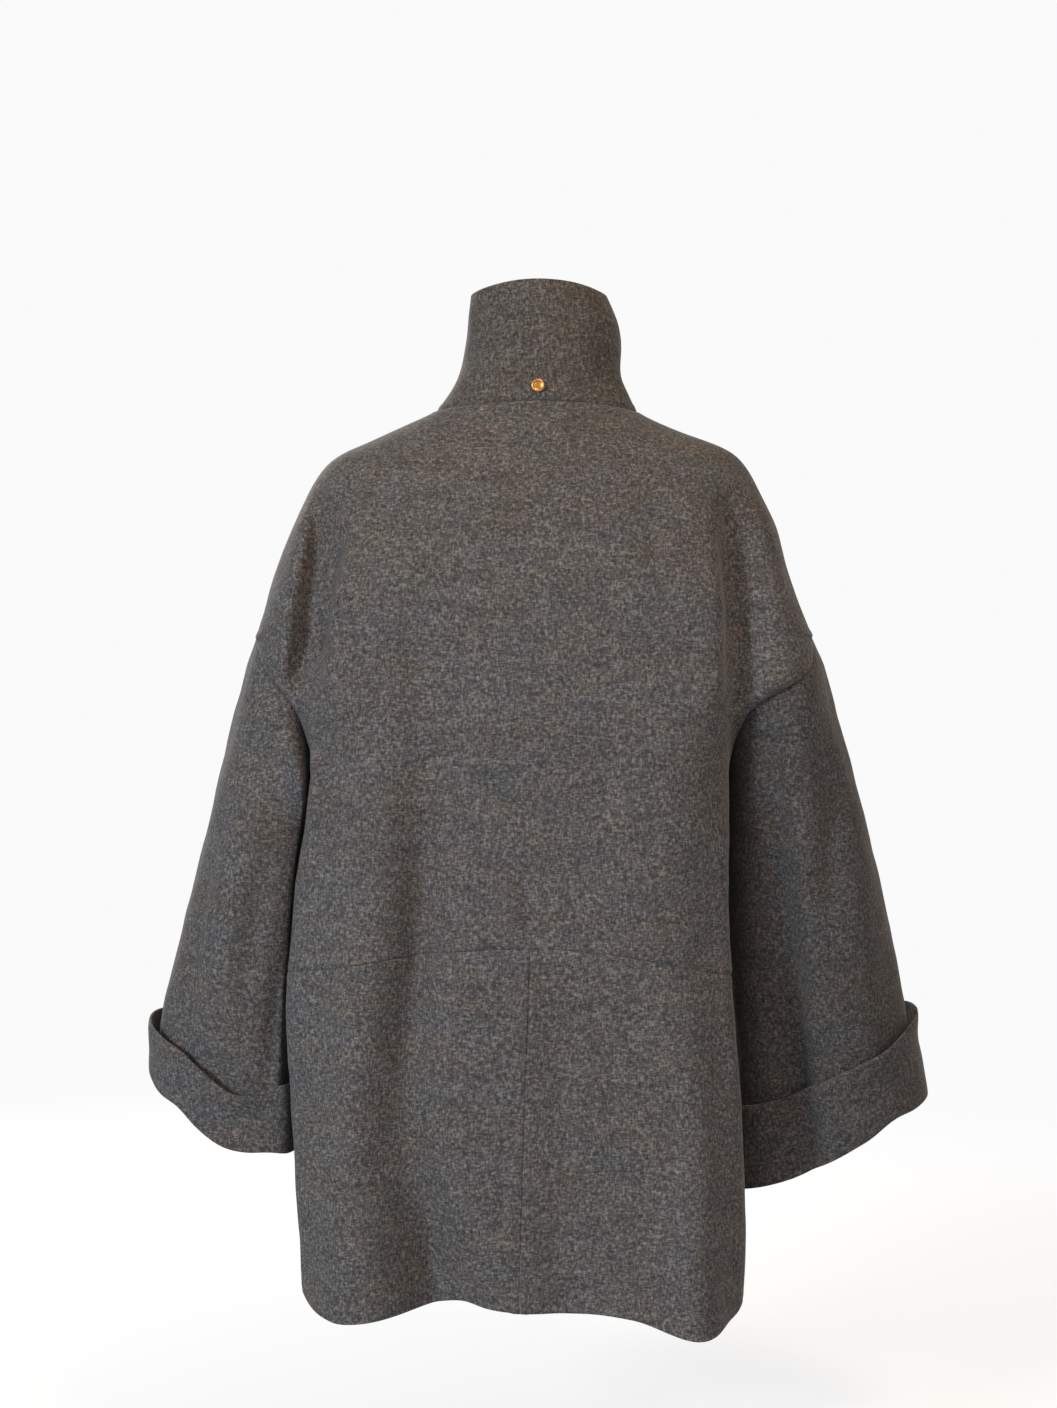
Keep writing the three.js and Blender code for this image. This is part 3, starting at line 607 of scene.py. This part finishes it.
def curve_through(rows):
    """A smooth line through rows of (x, z, depth, width towards -X, width towards +X)."""
    rows = np.array(rows, dtype=float) / 1000
    ends = np.vstack([2 * rows[0] - rows[1], rows, 2 * rows[-1] - rows[-2]])
    line = []
    for a, b, c, d in zip(ends, ends[1:], ends[2:], ends[3:]):
        for t in np.arange(CURVE_STEPS) / CURVE_STEPS:
            bend = (2 * a - 5 * b + 4 * c - d) * t**2 + (3 * b - a - 3 * c + d) * t**3
            line.append(b + 0.5 * ((c - a) * t + bend))
    return np.array(line + [rows[-1]])


def fold_at(points, rows):
    """How far one fold moves each point outwards."""
    line = curve_through(rows)
    place = points[:, [0, 2]]
    reach = REACH * line[:, 3:].max()
    inside = ((place > line[:, :2].min(0) - reach) & (place < line[:, :2].max(0) + reach)).all(1)
    place = place[inside]
    nearest = np.full(len(place), np.inf)
    best = np.zeros(len(place))
    for start, end in zip(line, line[1:]):
        along = end[:2] - start[:2]
        t = np.clip((place - start[:2]) @ along / max(along @ along, 1e-12), 0, 1)[:, None]
        here = start + t * (end - start)
        gap = place - here[:, :2]
        distance = np.linalg.norm(gap, axis=1)
        width = np.where(gap[:, 0] > 0, here[:, 4], here[:, 3])
        fold = here[:, 2] * np.exp(-((distance / width) ** 2))
        closer = distance < nearest
        nearest[closer] = distance[closer]
        best[closer] = fold[closer]
    move = np.zeros(len(points))
    move[inside] = best
    return move


def folds_at(points, table):
    return sum(fold_at(points, rows) for rows in table.values())


sample = fold_at(np.array([(0.0, 0.0, -0.05)]), [(0, 0, -5, 8, 8), (0, -100, -5, 8, 8)])
print("a trough 5 mm deep moves a point in it by", round(1000 * sample[0], 1), "mm")

# %% [markdown]
# The tables below are in millimetres. A simulation could be left to find the folds, but
# it would make folds of its own, and this jacket has a few whose places are known. The
# deepest one on the back is long and soft: it hangs on the left and opens into the hem.
# Narrow ones run down where the wide back turns in towards each arm, and short creases
# cross the small of the back. The sleeves carry long upright folds, the deepest in the
# hollow of the right one beside the body, and the front has folds of the same kind.

# %% Where the folds lie
BACK_FOLDS = {
    "right_arm": [
        (-168, -76, 0, 7, 7), (-176, -110, -4, 10, 6), (-182, -150, -5, 14, 6), (-184, -200, -5, 16, 6),
        (-183, -255, -5, 14, 6), (-180, -300, -3, 12, 6), (-178, -340, 0, 10, 6),
    ],
    "left_side": [
        (196, -320, 0, 16, 16), (200, -370, 2, 16, 16), (204, -440, 4, 16, 16), (206, -505, 5, 16, 16),
        (205, -580, 4, 16, 16), (202, -680, 3, 16, 16), (200, -790, 3, 16, 16), (200, -830, 3, 16, 16),
    ],
    "left_soft": [
        (76, -76, 0, 30, 20), (82, -140, -4, 36, 22), (90, -200, -6, 40, 24), (92, -270, -9, 42, 25),
        (93, -340, -14, 38, 23), (94, -400, -18, 34, 20), (98, -450, -21, 32, 18),
        (107, -510, -20, 32, 17), (116, -570, -17, 30, 17), (124, -620, -13, 28, 17),
        (130, -670, -8, 24, 17), (134, -720, 0, 20, 17),
    ],
    "left_low": [
        (98, -600, 0, 14, 20), (96, -660, -5, 12, 22), (92, -720, -9, 12, 24), (88, -780, -9, 12, 24),
        (86, -830, -8, 12, 24),
    ],
    "small_of_back": [
        (42, -318, 0, 7, 7), (30, -340, -4, 6, 8), (12, -360, -5, 5, 9), (2, -384, 0, 6, 6),
    ],
    "small_of_back_2": [
        (8, -394, 0, 6, 6), (4, -424, -3, 5, 8), (0, -452, -3.4, 5, 8), (2, -480, 0, 6, 6),
    ],
    "small_of_back_3": [(66, -366, 0, 8, 8), (54, -388, -2.8, 6, 8), (38, -400, 0, 6, 8)],
    "waist_left": [
        (62, -498, 0, 9, 9), (44, -520, -3, 8, 9), (22, -530, -2.6, 8, 8), (4, -524, 0, 8, 8),
    ],
    "right_blade": [
        (-94, -50, 0, 12, 14), (-104, -100, -3.4, 11, 14), (-112, -170, -4, 11, 14),
        (-104, -240, 0, 14, 14),
    ],
    "right_dart": [(-158, -60, 0, 4, 4), (-148, -100, -1.6, 4, 4), (-142, -120, 0, 4, 4)],
    "left_dart": [(139, -84, 0, 4, 5), (134, -106, -2.2, 4, 5), (128, -126, 0, 4, 5)],
    "left_yoke": [(150, -120, 0, 12, 14), (146, -170, -3, 14, 14), (150, -240, 0, 14, 14)],
    "under_neck": [
        (-34, -9, 0, 3, 3), (-62, -13, -1.6, 3, 3), (-94, -24, -1.2, 3, 3), (-112, -34, 0, 3, 3),
    ],
    "middle_skirt": [
        (-20, -480, 0, 18, 16), (-22, -560, -4, 20, 16), (-24, -680, -5, 20, 15),
        (-24, -830, -5, 20, 15),
    ],
    "right_skirt": [
        (-74, -580, 0, 20, 20), (-74, -660, 4, 20, 20), (-74, -720, 8, 20, 20), (-73, -830, 8, 20, 20),
    ],
    "right_lobe": [(-140, -520, 0, 20, 20), (-142, -640, 4, 20, 18), (-140, -820, 6, 22, 20)],
    "right_waist": [(-190, -470, 0, 8, 10), (-150, -486, -2.6, 8, 10), (-110, -482, 0, 8, 10)],
}
FRONT_FOLDS = {
    "left_arm": [
        (168, -100, 0, 7, 7), (178, -150, -5, 7, 7), (186, -215, -8, 8, 8), (190, -268, -5, 8, 8),
        (186, -310, 0, 9, 8),
    ],
    "right_arm": [
        (-168, -100, 0, 7, 7), (-178, -150, -5, 7, 7), (-184, -215, -8, 8, 8), (-186, -268, -5, 8, 8),
        (-182, -310, 0, 8, 9),
    ],
    "left_soft": [
        (96, -260, 0, 16, 16), (98, -400, -6, 14, 18), (96, -560, -9, 10, 22), (90, -700, -7, 10, 22),
        (88, -820, -6, 12, 24),
    ],
    "right_soft": [
        (-92, -300, 0, 16, 16), (-98, -440, -6, 18, 14), (-102, -600, -8, 22, 10),
        (-98, -820, -7, 24, 12),
    ],
    "chest": [(-70, -150, 0, 14, 14), (-84, -220, -4, 12, 12), (-100, -280, 0, 14, 14)],
    "left_chest": [(84, -120, 0, 14, 14), (92, -180, -4, 12, 14), (104, -240, 0, 14, 14)],
    "waist": [(52, -430, 0, 8, 8), (70, -456, -3.4, 7, 8), (100, -466, 0, 8, 8)],
    "right_waist": [(-60, -452, 0, 8, 8), (-84, -474, -3, 7, 8), (-116, -480, 0, 8, 8)],
}
ARM_FOLDS = {
    "valley": [
        (181, -70, 0, 6, 6), (186, -106, -7, 6, 6), (190, -150, -9, 6, 6), (196, -200, -8, 6, 6),
        (201, -250, -6, 7, 7), (203, -290, 0, 8, 8),
    ],
    "crest": [
        (195, -76, 0, 8, 10), (200, -120, 5, 7, 11), (205, -165, 6, 7, 12), (211, -210, 6, 7, 12),
        (216, -250, 4, 8, 12), (220, -275, 0, 8, 12),
    ],
    "right_edge": [
        (-178, -310, 0, 8, 17), (-180, -380, 8, 8, 17), (-183, -500, 9, 8, 17), (-186, -620, 8, 8, 16),
        (-188, -740, 6, 8, 15), (-188, -850, 6, 8, 15),
    ],
}
SLEEVE_FOLDS = {
    "left": {
        "elbow": [
            (218, -320, 0, 14, 14), (232, -410, -5, 12, 16), (244, -490, -7, 12, 16),
            (250, -570, 0, 12, 14),
        ],
        "outer": [
            (268, -360, 0, 10, 10), (288, -440, -5, 8, 12), (300, -520, -7, 8, 12),
            (306, -590, -3, 9, 12),
        ],
        "hand": [
            (216, -470, 0, 8, 10), (222, -540, -4, 7, 10), (226, -600, -3, 8, 10),
            (228, -640, 0, 8, 10),
        ],
    },
    "right": {
        "hollow": [
            (-206, -280, 0, 10, 12), (-210, -330, -11, 11, 14), (-215, -400, -22, 13, 18),
            (-224, -490, -29, 15, 24), (-234, -580, -30, 17, 28), (-240, -650, -25, 18, 30),
            (-242, -720, -18, 18, 30),
        ],
        "upper": [
            (-252, -240, 0, 12, 12), (-262, -310, -7, 14, 16), (-267, -380, -9, 16, 16),
            (-264, -440, -5, 14, 14), (-258, -490, 0, 12, 12),
        ],
        "outer": [
            (-280, -390, 0, 14, 16), (-292, -480, 4, 14, 18), (-302, -560, 4, 14, 18),
            (-310, -630, 0, 14, 16),
        ],
        "hand": [(-262, -520, 0, 8, 8), (-268, -580, -4, 7, 8), (-274, -640, 0, 8, 8)],
    },
}
COLLAR_FOLDS = {
    "roll": [(-62, 60, 0, 3, 3), (-20, 64, -0.8, 3, 3), (24, 64, -0.8, 3, 3), (60, 61, 0, 3, 3)],
    "left_flare": [(66, 44, 0, 7, 7), (72, 22, -2, 6, 7), (84, 2, 0, 7, 7)],
    "right_flare": [(-58, 52, 0, 7, 7), (-64, 26, -2, 6, 7), (-80, 6, 0, 7, 7)],
}
ALL_FOLDS = [BACK_FOLDS, FRONT_FOLDS, ARM_FOLDS, *SLEEVE_FOLDS.values(), COLLAR_FOLDS]
print(sum(len(table) for table in ALL_FOLDS), "folds in", len(ALL_FOLDS), "tables")

# %% [markdown]
# A fold on the body moves the cloth the way that the body's broad, flattened section
# faces, and a fold on a sleeve moves it away from the arm. If both used one way, a
# sleeve's folds would slide sideways over it instead of standing out.

# %% The way out of the body and of an arm
HALF_WIDTH, HALF_DEPTH, SQUARENESS = 0.195, 0.128, 1.6
SLEEVE_AXES = {
    "left": ((0.222, -0.006, -0.27), (0.277, -0.040, -0.64)),
    "right": ((-0.218, -0.006, -0.27), (-0.271, -0.048, -0.66)),
}


def outward(points):
    """The way out of the body at each point."""
    x, y = points[:, 0], points[:, 1]
    across = np.sign(x) * np.abs(x / HALF_WIDTH) ** SQUARENESS / HALF_WIDTH
    behind = np.sign(y) * np.abs(y / HALF_DEPTH) ** SQUARENESS / HALF_DEPTH
    return unit(np.stack([across, behind, 0 * across], axis=1))


def off_arm(points, side):
    """How far each point is from the middle of the arm, level with it."""
    start, end = (np.array(place) for place in SLEEVE_AXES[side])
    t = (points[:, 2] - start[2]) / (end[2] - start[2])
    off = points - (start + t[:, None] * (end - start))
    off[:, 2] = 0
    return off


print("out of the shoulder blade:", outward(np.array([(0.1, 0.1, -0.1)])).round(2)[0])

# %% [markdown]
# The back hangs flatter and squarer than a body is round, so below the shoulder blades
# its sides come back a little, towards the camera. A nearer thing looks larger, so they
# are drawn in by as much. The folds along the two arms are narrow and stand on a part
# that already turns away, where the way out would pinch them, so they go straight back.

# %% A rule for the body
SIDE_FADE = (0.012, 0.045)
BACK_FLAT, FLAT_ACROSS, FLAT_DOWN = 0.0235, (0.03, 0.165), (-0.22, -0.37)
CAMERA_TO_BACK = 2.1


def lay_body_folds(points):
    behind = ease(*SIDE_FADE, points[:, 1])
    before = ease(*SIDE_FADE, -points[:, 1])
    move = folds_at(points, BACK_FOLDS) * behind + folds_at(points, FRONT_FOLDS) * before
    moved = outward(points) * move[:, None]
    moved[:, 1] += folds_at(points, ARM_FOLDS) * behind
    across = ease(*FLAT_ACROSS, np.abs(points[:, 0]))
    nearer = BACK_FLAT * across * behind * ease(*FLAT_DOWN, points[:, 2])
    moved[:, 1] += nearer
    moved[:, 0] -= nearer / CAMERA_TO_BACK * points[:, 0]
    moved[:, 2] -= nearer / CAMERA_TO_BACK * (points[:, 2] - MIDDLE[2])
    return moved


print("the back's sides come back by", 1000 * BACK_FLAT, "mm")

# %% [markdown]
# A wide sleeve falls in behind its arm. The left one's back is filled out towards the
# body, so that no gap shows between them, and its edge is shifted sideways by a little,
# more half way down than at the cuff. Sleeve folds lie behind the arm and again, weaker,
# before it, because the back of the jacket is the side that is known.

# %% A rule for the sleeves
ARM_FADE, FRONT_SHARE = (-0.005, 0.03), 0.7
SLEEVE_FILL, FILL_TURN, FILL_SPREAD, FILL_BEFORE = 0.048, 68, 40, -0.3
FILL_FADE, FILL_DOWN = (-0.002, 0.016), (-0.27, -0.35)
SHIFT_TURNS, SHIFT_BEFORE = (25, 75), 0.4
SLEEVE_SHIFTS = [(-640, 2), (-600, 3), (-550, 8), (-500, 11), (-400, 11), (-360, 6), (-300, -3)]


def row_values(rows, heights):
    """What a table in millimetres, with the height first, gives at each height."""
    rows = np.array(rows) / 1000
    return [np.interp(heights, rows[:, 0], column) for column in rows[:, 1:].T]


def fill_sleeve(off, heights):
    """Bring the left sleeve's back nearer to the body."""
    turn = np.degrees(np.arctan2(-off[:, 0], np.abs(off[:, 1])))
    behind, before = ease(*FILL_FADE, off[:, 1]), ease(*FILL_FADE, -off[:, 1])
    hung = ease(*FILL_DOWN, heights)
    (shift,) = row_values(SLEEVE_SHIFTS, heights)
    moved = np.zeros_like(off)
    inside = np.exp(-(((turn - FILL_TURN) / FILL_SPREAD) ** 2))
    moved[:, 1] = SLEEVE_FILL * inside * (behind + FILL_BEFORE * before) * hung
    moved[:, 0] = shift * ease(*SHIFT_TURNS, turn) * (behind + SHIFT_BEFORE * before) * hung
    return moved


def lay_sleeve_folds(points, side):
    off = off_arm(points, side)
    behind, before = ease(*ARM_FADE, off[:, 1]), ease(*ARM_FADE, -off[:, 1])
    move = folds_at(points, SLEEVE_FOLDS[side]) * (behind + FRONT_SHARE * before)
    moved = unit(off) * move[:, None]
    return moved + fill_sleeve(off, points[:, 2]) if side == "left" else moved


print("the left sleeve is filled out by", 1000 * SLEEVE_FILL, "mm")

# %% [markdown]
# The collar is a tall stiff band, so it only rolls a little near its top and creases
# where it flares into the shoulders. Its folds move the cloth towards the neck or away.

# %% A rule for the collar
COLLAR_FADE = (0, 0.03)


def lay_collar_folds(points):
    behind = ease(*COLLAR_FADE, points[:, 1])
    return unit(points * (1, 1, 0)) * (folds_at(points, COLLAR_FOLDS) * behind)[:, None]


def family(name):
    """The rule that a piece goes by."""
    if name == "collar":
        return lay_collar_folds
    if name.startswith(("sleeve", "cuff")):
        return lambda points: lay_sleeve_folds(points, name.split("_")[1])
    return lay_body_folds


print({name: family(name).__name__ for name in ("back_upper", "collar")})

# %% [markdown]
# Three touches cross the seams, so every piece goes by them alike. The arms run on
# straight over the armhole seams. The cloth under the left arm is filled out, so that
# body and sleeve meet in one narrow valley. And the lowest corners of both cuffs and of
# the hem are lifted, which rounds them as soft wool hangs.

# %% Straighten the arms and lift the corners
ARM_ROWS = {
    "left": [(-340, 0), (-300, 1.6), (-235, 1.8), (-216, -0.4), (-203, -2.2), (-188, -1), (-170, 0)],
    "right": [
        (-430, 0), (-340, 2.4), (-300, 3), (-232, 3.4), (-214, 0.4), (-201, -1.8), (-186, -0.8),
        (-165, 0),
    ],
}
ARM_FROM_TO = (0.19, 0.235)
PIT_ROWS = [
    (-380, 195, 0), (-360, 195, 14), (-340, 195, 27), (-320, 196, 30), (-300, 200, 19), (-280, 205, 8),
    (-255, 207, 0),
]
PIT_WIDTH, PIT_FADE = 0.016, (0, 0.03)
CUFF_LIFTS = [(313, 6, 14), (272, -2.5, 16), (222, 8.5, 24), (-325, 8, 22), (-286, 3, 20)]
HEM_LIFTS = [(207, 13, 13), (-196, 18, 11)]
CUFF_DOWN, HEM_DOWN = (-0.575, -0.615), (-0.72, -0.79)


def lift(points, rows, down):
    """How far rows of (x, lift, width) raise each point, in full only low down."""
    low = ease(*down, points[:, 2])
    near = [up / 1000 * np.exp(-(((1000 * points[:, 0] - x) / width) ** 2)) for x, up, width in rows]
    return sum(near) * low


def run_straight(points):
    x, y, heights = points.T
    moved = points.copy()
    for side, sign in (("left", 1), ("right", -1)):
        (out,) = row_values(ARM_ROWS[side], heights)
        moved[:, 0] += sign * out * ease(*ARM_FROM_TO, sign * x)
    pit, fill = row_values(PIT_ROWS, heights)
    moved[:, 1] += fill * np.exp(-(((x - pit) / PIT_WIDTH) ** 2)) * ease(*PIT_FADE, y)
    moved[:, 2] += lift(points, CUFF_LIFTS, CUFF_DOWN) + lift(points, HEM_LIFTS, HEM_DOWN)
    return moved


corner = np.array([(HEM_LIFTS[0][0] / 1000, 0.1, HEM_DOWN[1])])
rise = (run_straight(corner) - corner)[0, 2]
print("the left corner of the hem rises by", round(1000 * rise, 1), "mm")

# %% [markdown]
# Between the folds the cloth is never quite flat either. A slow ripple of a millimetre
# runs through it, made of noise in the object's own space. The rules above differ from
# family to family, so every move fades out towards the seams where two families meet.

# %% Move every piece
RIPPLES = ((22, 0.0013), (55, 0.0005))
SEAM_FROM, FAMILY_FADE = 0.0005, 0.028


def ripple(point):
    return sum(size * noise_at(Vector(point) * pitch) for pitch, size in RIPPLES)


for name, piece in cloth.items():
    points = places(piece.data)
    away = distance_to(FAMILY_SEAMS, points, FAMILY_FADE)
    move = family(name)(points) + outward(points) * np.array([[ripple(point)] for point in points])
    moved = run_straight(points + move * ease(SEAM_FROM, FAMILY_FADE, away)[:, None])
    put(piece.data, moved)
    print(name, "moves by", round(1000 * np.linalg.norm(moved - points, axis=1).max(), 1), "mm at most")

# %% [markdown]
# The rims of thick wool are round. Each rim point knows how deep it lies below the face
# of the cloth, so it is drawn in as on a half circle. Sewn rims first close up on each
# other, and the allowance pressed open behind each seam lifts the cloth a little on
# both sides of it. The free upper edge of each cuff stands off from the sleeve, and the
# left one sags a little in the middle of its back.

# %% Round the rims and press the seams
ROUND = 0.0008
CLOSE = 0.42
PRESS, PRESS_AT, PRESS_WIDTH = 0.0006, 0.005, 0.0028
STAND_OFF, STAND_WIDTH, CUFF_REACH = 0.0055, 0.018, 0.055
CUFF_DIP, DIP_AT, DIP_WIDTH = 0.016, 0.256, 0.034


def normals_of(mesh):
    flat = np.empty(3 * len(mesh.vertices))
    mesh.vertex_normals.foreach_get("vector", flat)
    return flat.reshape(-1, 3)


def rim_ways(mesh):
    """The way each rim point faces, from the rim's own rectangles."""
    corners, is_rim = faces_of(mesh)
    flat = np.empty(3 * len(mesh.polygons))
    mesh.polygons.foreach_get("normal", flat)
    facing = flat.reshape(-1, 3)[is_rim]
    ways = np.zeros((len(mesh.vertices), 3))
    for corner in corners[is_rim].T:
        np.add.at(ways, corner, facing)
    return unit(ways)


def away_from_middle(name, points):
    """A way that leads out through the wall of a piece, from its middle, at each point."""
    if name.startswith(("sleeve", "cuff")):
        return off_arm(points, name.split("_")[1])
    return points * (1, 1, 0) if name == "collar" else outward(points)


def free_edge(piece):
    """The upper edge of a cuff: of its two rims, the one that lies higher."""
    corners, is_rim = faces_of(piece.data)
    label = np.arange(len(piece.data.vertices))
    while True:
        least = label[corners[is_rim]].min(1)
        lower = label.copy()
        for corner in corners[is_rim].T:
            np.minimum.at(lower, corner, least)
        if (lower == label).all():
            break
        label = lower
    height = places(piece.data)[:, 2]
    loops = [np.flatnonzero(label == first) for first in np.unique(label[corners[is_rim]])]
    return max(loops, key=lambda loop: height[loop].mean())


closed = {}
rim_trees = {name: tree_of(places(cloth[name].data)[rims[name][0]]) for name in cloth}
for name, piece in cloth.items():
    closed[name] = places(piece.data)
    for index, other in sewn[name].items():
        gap = np.array(rim_trees[other].find(closed[name][index])[0]) - closed[name][index]
        if np.linalg.norm(gap) < 2 * BESIDE:
            closed[name][index] += CLOSE * gap

for name, piece in cloth.items():
    points = closed[name]
    put(piece.data, points)
    if sewn[name]:
        out = normals_of(piece.data)
        out *= np.sign((out * away_from_middle(name, points)).sum(1))[:, None]
        away = distance_to(points[list(sewn[name])], points, PRESS_AT + 3 * PRESS_WIDTH)
        press = PRESS * np.exp(-(((away - PRESS_AT) / PRESS_WIDTH) ** 2))
        points = points + out * press[:, None]
    if name.startswith("cuff"):
        away = distance_to(points[free_edge(piece)], points, CUFF_REACH)
        stand = STAND_OFF * np.exp(-((away / STAND_WIDTH) ** 2))
        points = points + unit(away_from_middle(name, points)) * stand[:, None]
        if name == "cuff_left":
            dip = np.exp(-(((points[:, 0] - DIP_AT) / DIP_WIDTH) ** 2))
            points[:, 2] -= CUFF_DIP * dip * (1 - ease(0, CUFF_REACH, away))
    put(piece.data, points)
    on_rim, depth = rims[name]
    around = 1 - np.minimum(depth / (CLOTH / 2), 1)
    draw = ROUND * (1 - np.sqrt(np.maximum(1 - around**2, 0)))
    points[on_rim] -= rim_ways(piece.data)[on_rim] * draw[:, None]
    put(piece.data, points)
    piece.data.shade_smooth()
    print(name, len(on_rim), "rim points rounded,", 2 * len(piece.data.polygons), "triangles")

# %% [markdown]
# The stud at the back of the collar is turned brass: a rolled coppery rim round a
# dished golden face. It is spun again here from a finer profile, in the very place of
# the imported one, whose flattest way shows where it faces.

# %% Spin the stud
STUD_RADIUS, STUD_HEIGHT, STUD_STEPS = 0.006, 0.0034, 64
FACE_HEIGHT, FACE_TO, RIM_FROM = 0.7, 0.0036, 0.0042
COPPERY, GOLDEN = (0.70, 0.36, 0.18), (0.55, 0.285, 0.042)
BRASS_METALLIC, BRASS_ROUGHNESS = 0.9, 0.38
STUD_PROFILE = [
    (0, 0), (0.58, 0), (0.74, 0.04), (0.88, 0.17), (0.97, 0.36), (1, 0.56), (0.985, 0.72),
    (0.94, 0.86), (0.87, 0.96), (0.79, 1), (0.72, 0.96), (0.66, 0.87), (0.58, 0.80), (0.42, 0.74),
    (0.22, 0.70), (0, 0.69),
]


def metal(name, rim, face, centre):
    """A metal that is one colour round the rim and another on the face."""
    material = bpy.data.materials.new(name)
    material.use_nodes = True
    tree = material.node_tree
    shader = tree.nodes["Principled BSDF"]
    place = tree.nodes.new("ShaderNodeTexCoord")
    off = tree.nodes.new("ShaderNodeVectorMath")
    off.operation = "DISTANCE"
    off.inputs[1].default_value = centre
    ramp = tree.nodes.new("ShaderNodeMapRange")
    ramp.inputs["From Min"].default_value = FACE_TO
    ramp.inputs["From Max"].default_value = RIM_FROM
    mix = tree.nodes.new("ShaderNodeMix")
    mix.data_type = "RGBA"
    mix.inputs[6].default_value = (*face, 1)
    mix.inputs[7].default_value = (*rim, 1)
    wire(
        tree,
        (place.outputs["Object"], off.inputs[0]),
        (off.outputs["Value"], ramp.inputs["Value"]),
        (ramp.outputs["Result"], mix.inputs[0]),
        (mix.outputs[2], shader.inputs["Base Color"]),
    )
    shader.inputs["Metallic"].default_value = BRASS_METALLIC
    shader.inputs["Roughness"].default_value = BRASS_ROUGHNESS
    return material


plain = places(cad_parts["neck_stud"].data)
centre = (plain.min(0) + plain.max(0)) / 2
facing = np.linalg.svd(plain - plain.mean(0))[2][2]
facing *= np.sign(facing[1])
back = centre - facing * np.ptp((plain - centre) @ facing) / 2

bm = bmesh.new()
ring = [bm.verts.new((out * STUD_RADIUS, 0, up * STUD_HEIGHT)) for out, up in STUD_PROFILE]
outline = [bm.edges.new(pair) for pair in zip(ring, ring[1:])]
bmesh.ops.spin(
    bm,
    geom=ring + outline,
    cent=(0, 0, 0),
    axis=(0, 0, 1),
    angle=2 * math.pi,
    steps=STUD_STEPS,
    use_merge=True,
)
bmesh.ops.remove_doubles(bm, verts=bm.verts, dist=1e-6)
bmesh.ops.recalc_face_normals(bm, faces=bm.faces)
turn = Vector((0, 0, 1)).rotation_difference(Vector(facing)).to_matrix().to_4x4()
bmesh.ops.transform(bm, matrix=turn, verts=bm.verts)
bmesh.ops.translate(bm, verts=bm.verts, vec=back)
stud_mesh = bpy.data.meshes.new("brass_stud")
bm.to_mesh(stud_mesh)
bm.free()
stud_mesh.shade_smooth()
stud = bpy.data.objects.new("brass_stud", stud_mesh)
bpy.context.scene.collection.objects.link(stud)
face_centre = back + facing * STUD_HEIGHT * FACE_HEIGHT
stud_mesh.materials.append(metal("brass", COPPERY, GOLDEN, face_centre))
print("stud faces", [round(v, 2) for v in facing], "with", len(stud_mesh.polygons), "faces")

# %% [markdown]
# All pieces are of one wool, but each is cut with its own grain, so each has its own
# material, and it takes the place of its plain wall. Pieces that would be recoloured
# together are listed under one slot name, which is only printed.

# %% Dress the pieces
FINISH = {
    "collar": (COLLAR_WOOL, "wool_collar"),
    "sleeve_left": (LEFT_SLEEVE_WOOL, "wool_sleeve"),
    # The right sleeve's and right cuff's wools are also darker than the rest: painted shade.
    "sleeve_right": (RIGHT_SLEEVE_WOOL, "wool_sleeve"),
    "cuff_left": (LEFT_CUFF_WOOL, "wool_cuff"),
    "cuff_right": (RIGHT_CUFF_WOOL, "wool_cuff"),
}
for name, piece in cloth.items():
    material, slot = FINISH.get(name, (BODY_WOOL, "wool"))
    piece.data.materials.clear()
    piece.data.materials.append(material)
    piece.data.polygons.foreach_set("material_index", np.zeros(len(piece.data.polygons), dtype=int))
    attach(piece, "root")
    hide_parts(name)
    print(name, "wears", material.name, "in slot", slot)
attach(stud, "root")
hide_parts("neck_stud")

# %% [markdown]
# Each piece is a sheet of cloth. Its flat size is that of the cut: its width by its
# length where it is widest and longest, and the area that the cut fills of that
# rectangle. A sleeve or a cuff is cut flat and sewn to a tube, so its width goes all
# the way round. The body hangs from the shoulders, the sleeves from their armholes.

# %% Say what each sheet was cut to
SHEETS = {
    "back_upper": ((0.70, 0.52), 0.265, "hung", ["front_left", "front_right"]),
    "back_lower_left": ((0.30, 0.35), 0.087, "hung", ["back_upper"]),
    "back_lower_right": ((0.30, 0.35), 0.084, "hung", ["back_upper"]),
    "front_left": ((0.36, 0.83), 0.229, "hung", ["back_upper"]),
    "front_right": ((0.36, 0.83), 0.221, "hung", ["back_upper"]),
    "collar": ((0.56, 0.13), 0.052, "draped", ["back_upper", "front_left", "front_right"]),
    "sleeve_left": ((0.46, 0.47), 0.155, "hung", ["back_upper", "front_left"]),
    "sleeve_right": ((0.52, 0.51), 0.192, "hung", ["back_upper", "front_right"]),
    "cuff_left": ((0.47, 0.10), 0.036, "folded", ["sleeve_left"]),
    "cuff_right": ((0.54, 0.14), 0.058, "folded", ["sleeve_right"]),
}
for name, (flat, area, held, others) in SHEETS.items():
    one_side = sum(p.area for p in cloth[name].data.polygons) / 2
    print(name, "cut", flat, "m, area", area, "one side now measures", round(one_side, 4))
